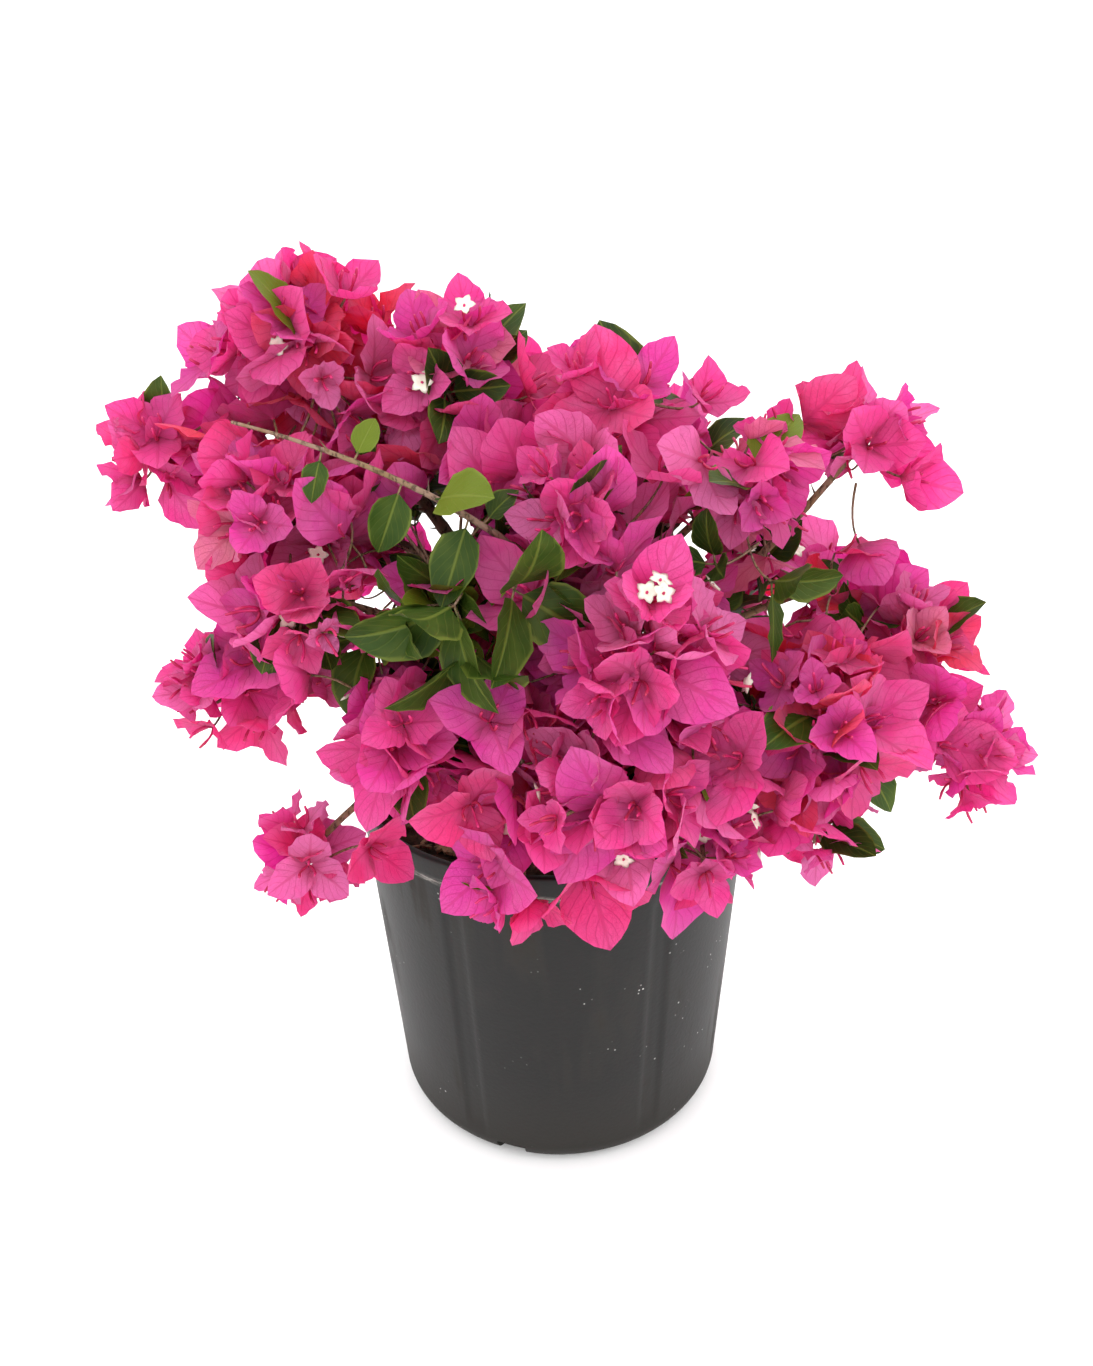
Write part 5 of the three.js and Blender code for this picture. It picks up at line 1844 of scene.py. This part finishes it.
class BOUGAINVILLEA_OT_twigs(bpy.types.Operator):
    """Make the stems, twigs and thorns inside the masses"""

    bl_idname = "bougainvillea.twigs"
    bl_label = "Twigs and thorns"

    def execute(self, context):
        colours = context.scene.bush_colours
        limbs, growths = bush()
        points, faces = twigs_mesh(growths)
        material = bark_material("young_twigs", colours.twig, colours.cane, colours.bark_dark, 140.0)
        new_piece("fine_twigs", points, faces, material)
        points, faces = thorns_mesh(limbs, context.scene.bush_sizes.thorn_length / MM)
        thorn = plain_material("thorn_wood", colours.bark_dark, colours.twig, 0.6)
        new_piece("cane_thorns", points, faces, thorn)
        return {"FINISHED"}


# Bracts, flowers and leaves


def dealt_by(draw, limits, last):
    """The first name whose limit is above the draw, or else the last one."""
    return next((name for name, limit in limits if draw < limit), last)


def tint_of(spray, mass):
    """The tint that a spray is dealt: its mass's own by that share, otherwise mostly magenta."""
    own, share = TINTED_MASSES.get(mass.name, USUAL_TINT)
    if chance(*spray.key, 50) < share:
        return own
    return dealt_by(chance(*spray.key, 51), TINT_LIMITS, "magenta")


def stalks_mesh(blades, stalk, radius):
    """The short stalks of leaves: tubes from the twig to the foot of each blade."""
    root = np.array([blade.root for blade in blades])
    along = np.array([blade.along for blade in blades])
    end = root + along * (stalk + 1)
    paths = curved_paths(root, (root + end) / 2 - np.array([0, 0, 0.5]), end, 4)
    return tubes(paths, np.full((len(blades), 4), radius), 5)


class BOUGAINVILLEA_OT_bracts(bpy.types.Operator):
    """Make the coloured bracts, one piece for each tint"""

    bl_idname = "bougainvillea.bracts"
    bl_label = "Bracts"

    def execute(self, context):
        colours = context.scene.bush_colours
        _, growths = bush()
        dealt = {tint: [] for tint in TINTS}
        for growth in growths:
            for spray in growth.sprays:
                if not spray.shoot:
                    group = dealt[tint_of(spray, growth.mass)]
                    group.extend((blade, (*spray.key, k)) for k, blade in enumerate(spray.blades))
        masses = [name for name in frame["nodes"] if name.startswith("foliage_")]
        for tint, group in dealt.items():
            blades, keys = zip(*group)
            width = context.scene.bush_sizes.bract_width
            points, faces, uvs = blades_mesh(blades, keys, BRACT_LOOK, width)
            # The rose colour also gives the bracts' paler blotches and tips, partly their own fading and
            # partly painted highlight.
            material = bract_material("bract_" + tint, getattr(colours, tint), colours.deep, colours.rose)
            new_piece("bracts_" + tint, points, faces, material, masses, uvs, sharp_from=70)
        return {"FINISHED"}


class BOUGAINVILLEA_OT_flowers(bpy.types.Operator):
    """Make the slender flower tubes and the open white stars"""

    bl_idname = "bougainvillea.flowers"
    bl_label = "Flowers"

    def execute(self, context):
        colours = context.scene.bush_colours
        sizes = context.scene.bush_sizes
        _, growths = bush()
        tube = sizes.flower_tube / MM
        starts, middles, ends, stars = [], [], [], []
        for growth in growths:
            for spray in growth.sprays:
                if spray.shoot:
                    continue
                in_flower = spray.in_flower or chance(*spray.key, 61) < sizes.open_flowers
                opened = math.floor(3 * chance(*spray.key, 60)) if in_flower else -1
                for k, blade in enumerate(spray.blades):
                    way = unit(spray.axis + (0.9 if spray.in_flower else 0.5) * blade.along)
                    length = tube * (0.7 + 0.35 * chance(*spray.key, 62 + k))
                    end = spray.node + way * length
                    starts.append(spray.node)
                    middles.append(spray.node + blade.along * length * 0.5)
                    ends.append(end)
                    if spray.in_flower or k == opened:
                        stars.append((end - way * STAR_SUNK, way))
        paths = curved_paths(np.array(starts), np.array(middles), np.array(ends), 6)
        points, faces = tubes(paths, np.tile(TUBE_SWELL, (len(paths), 1)), 5)
        material = plain_material("flower_tube", colours.tube, colours.deep, 0.55)
        new_piece("flower_tubes", points, faces, material)

        points, faces = stars_mesh(stars, sizes.star_width / MM)
        petal = plain_material("white_petal", colours.star, colours.star, 0.5, 0.2)
        new_piece("open_flowers", points, faces, petal)
        return {"FINISHED"}


def stars_mesh(stars, width):
    """Open flowers: a shallow dish whose rim goes in and out five times round, closed underneath."""
    centre = np.array([star[0] for star in stars])
    axis = np.array([star[1] for star in stars])
    east, north = across(axis)
    turn = np.arange(STAR_STATIONS) * 2 * np.pi / STAR_STATIONS
    reach = width / 2
    rim = reach * (0.8 + 0.2 * np.cos(STAR_POINTS * turn))
    rings = [(0.28 * reach + 0 * turn, 0.1), (0.6 * rim, 0.5), (rim, 0.9), (0.3 * reach + 0 * turn, -0.5)]
    walls = []
    for radius, rise in rings:
        flat = east[:, None] * (radius * np.cos(turn))[:, None]
        flat = flat + north[:, None] * (radius * np.sin(turn))[:, None]
        walls.append(centre[:, None] + flat + axis[:, None] * rise)
    throat = centre + axis * -0.6
    back = centre + axis * -1.2
    points = np.concatenate([*walls, throat[:, None], back[:, None]], axis=1)
    size = points.shape[1]
    quads = grid_faces(len(rings), STAR_STATIONS)[:, ::-1]
    mouth = fan(0, STAR_STATIONS, size - 2, True)
    foot = fan((len(rings) - 1) * STAR_STATIONS, STAR_STATIONS, size - 1, False)
    caps = np.concatenate([mouth, foot])
    count = len(stars)
    return points.reshape(-1, 3), [repeat_faces(quads, count, size), repeat_faces(caps, count, size)]


class BOUGAINVILLEA_OT_leaves(bpy.types.Operator):
    """Make the green leaves, one piece for each green"""

    bl_idname = "bougainvillea.leaves"
    bl_label = "Leaves"

    def execute(self, context):
        colours = context.scene.bush_colours
        _, growths = bush()
        dealt = {"leaf_dark": [], "leaf": [], "leaf_young": []}
        for growth in growths:
            seed = growth.mass.seed
            found = [(leaf, (seed, LEAF_TINT_KEY + i, 0)) for i, leaf in enumerate(growth.leaves)]
            for spray in growth.sprays:
                if spray.shoot:
                    found.extend((blade, (*spray.key, k)) for k, blade in enumerate(spray.blades))
            for blade, key in found:
                tint = dealt_by(chance(*key[:2], 80), LEAF_TINT_LIMITS, "leaf_young")
                dealt[tint].append((blade, key))
        stalks = []
        for tint, group in dealt.items():
            blades, keys = zip(*group)
            width = context.scene.bush_sizes.leaf_width
            points, faces, uvs = blades_mesh(blades, keys, LEAF_LOOK, width)
            material = leaf_material(tint + "_green", getattr(colours, tint), colours.leaf_margin)
            new_piece("leaves_" + tint, points, faces, material, uvs=uvs, sharp_from=70)
            stalks.extend(blades)
        points, faces = stalks_mesh(stalks, LEAF_LOOK["stalk"], 0.6)
        material = plain_material("leaf_stalk", colours.leaf, colours.twig, 0.6)
        new_piece("leaf_stalks", points, faces, material)
        return {"FINISHED"}


# Stage


class BOUGAINVILLEA_OT_stage(bpy.types.Operator):
    """Set the pale floor, the soft light and the camera at the photograph's viewing angle"""

    bl_idname = "bougainvillea.stage"
    bl_label = "Stage"

    def execute(self, context):
        scene = context.scene
        mesh = bpy.data.meshes.new("pale_floor")
        corners = [(FLOOR_REACH * x, FLOOR_REACH * y, 0) for x, y in ((-1, -1), (1, -1), (1, 1), (-1, 1))]
        mesh.from_pydata(corners, [], [(0, 1, 2, 3)])
        material, tree, output, _ = start_material("pale_floor")
        finish_surface(tree, output, {"Base Color": (0.985, 0.985, 0.985), "Roughness": 0.9})
        mesh.materials.append(material)
        floor = bpy.data.objects.new("pale_floor", mesh)
        scene.collection.objects.link(floor)

        world = bpy.data.worlds.new("soft_sky")
        world.use_nodes = True
        background = world.node_tree.nodes["Background"]
        background.inputs["Color"].default_value = (1, 1, 1, 1)
        background.inputs["Strength"].default_value = SKY_STRENGTH
        scene.world = world
        for name, (place, size, power) in LAMPS.items():
            lamp = bpy.data.lights.new(name, "AREA")
            lamp.size = size
            lamp.energy = power
            light = bpy.data.objects.new(name, lamp)
            light.location = place
            aim = LAMP_AIM - light.location
            light.rotation_euler = aim.to_track_quat("-Z", "Y").to_euler()
            scene.collection.objects.link(light)

        lens = bpy.data.cameras.new("photo_view")
        lens.sensor_width = 36
        lens.lens = FOCAL_PIXELS / FRAME_HEIGHT * lens.sensor_width
        lens.shift_x = -CAMERA_SHIFT_RIGHT / FRAME_HEIGHT
        lens.shift_y = CAMERA_SHIFT_DOWN / FRAME_HEIGHT
        lens.clip_start = 0.01
        camera = bpy.data.objects.new("photo_view", lens)
        look = (CAMERA_TARGET - CAMERA_PLACE).to_track_quat("-Z", "Y").to_matrix()
        turned = look @ Matrix.Rotation(CAMERA_ROLL, 3, "Z")
        camera.matrix_world = Matrix.Translation(CAMERA_PLACE) @ turned.to_4x4()
        scene.collection.objects.link(camera)
        scene.camera = camera
        scene.view_settings.view_transform = "Standard"
        return {"FINISHED"}


STEPS = (
    BOUGAINVILLEA_OT_pot,
    BOUGAINVILLEA_OT_soil,
    BOUGAINVILLEA_OT_limbs,
    BOUGAINVILLEA_OT_twigs,
    BOUGAINVILLEA_OT_bracts,
    BOUGAINVILLEA_OT_flowers,
    BOUGAINVILLEA_OT_leaves,
    BOUGAINVILLEA_OT_stage,
)


class BOUGAINVILLEA_PT_panel(bpy.types.Panel):
    """The steps and the values of the bougainvillea"""

    bl_label = "Bougainvillea"
    bl_idname = "BOUGAINVILLEA_PT_panel"
    bl_space_type = "VIEW_3D"
    bl_region_type = "UI"
    bl_category = "Bougainvillea"

    def draw(self, context):
        for step in STEPS:
            self.layout.operator(step.bl_idname)
        for group in (context.scene.bush_sizes, context.scene.pot_sizes, context.scene.bush_colours):
            box = self.layout.box()
            for name in group.__annotations__:
                box.prop(group, name)


GROUPS = {"bush_sizes": BushSizes, "pot_sizes": PotSizes, "bush_colours": BushColours}


def register():
    """Adds the values, the steps and the panel."""
    for group in GROUPS.values():
        bpy.utils.register_class(group)
    for name, group in GROUPS.items():
        setattr(bpy.types.Scene, name, PointerProperty(type=group))
    for step in STEPS:
        bpy.utils.register_class(step)
    bpy.utils.register_class(BOUGAINVILLEA_PT_panel)


def unregister():
    """Takes the panel, the steps and the values out again."""
    bpy.utils.unregister_class(BOUGAINVILLEA_PT_panel)
    for step in reversed(STEPS):
        bpy.utils.unregister_class(step)
    for name in GROUPS:
        delattr(bpy.types.Scene, name)
    for group in GROUPS.values():
        bpy.utils.unregister_class(group)


def main():
    """Runs all the steps in their order."""
    register()
    for step in STEPS:
        group, name = step.bl_idname.split(".")
        getattr(getattr(bpy.ops, group), name)()


if __name__ == "__main__":
    main()
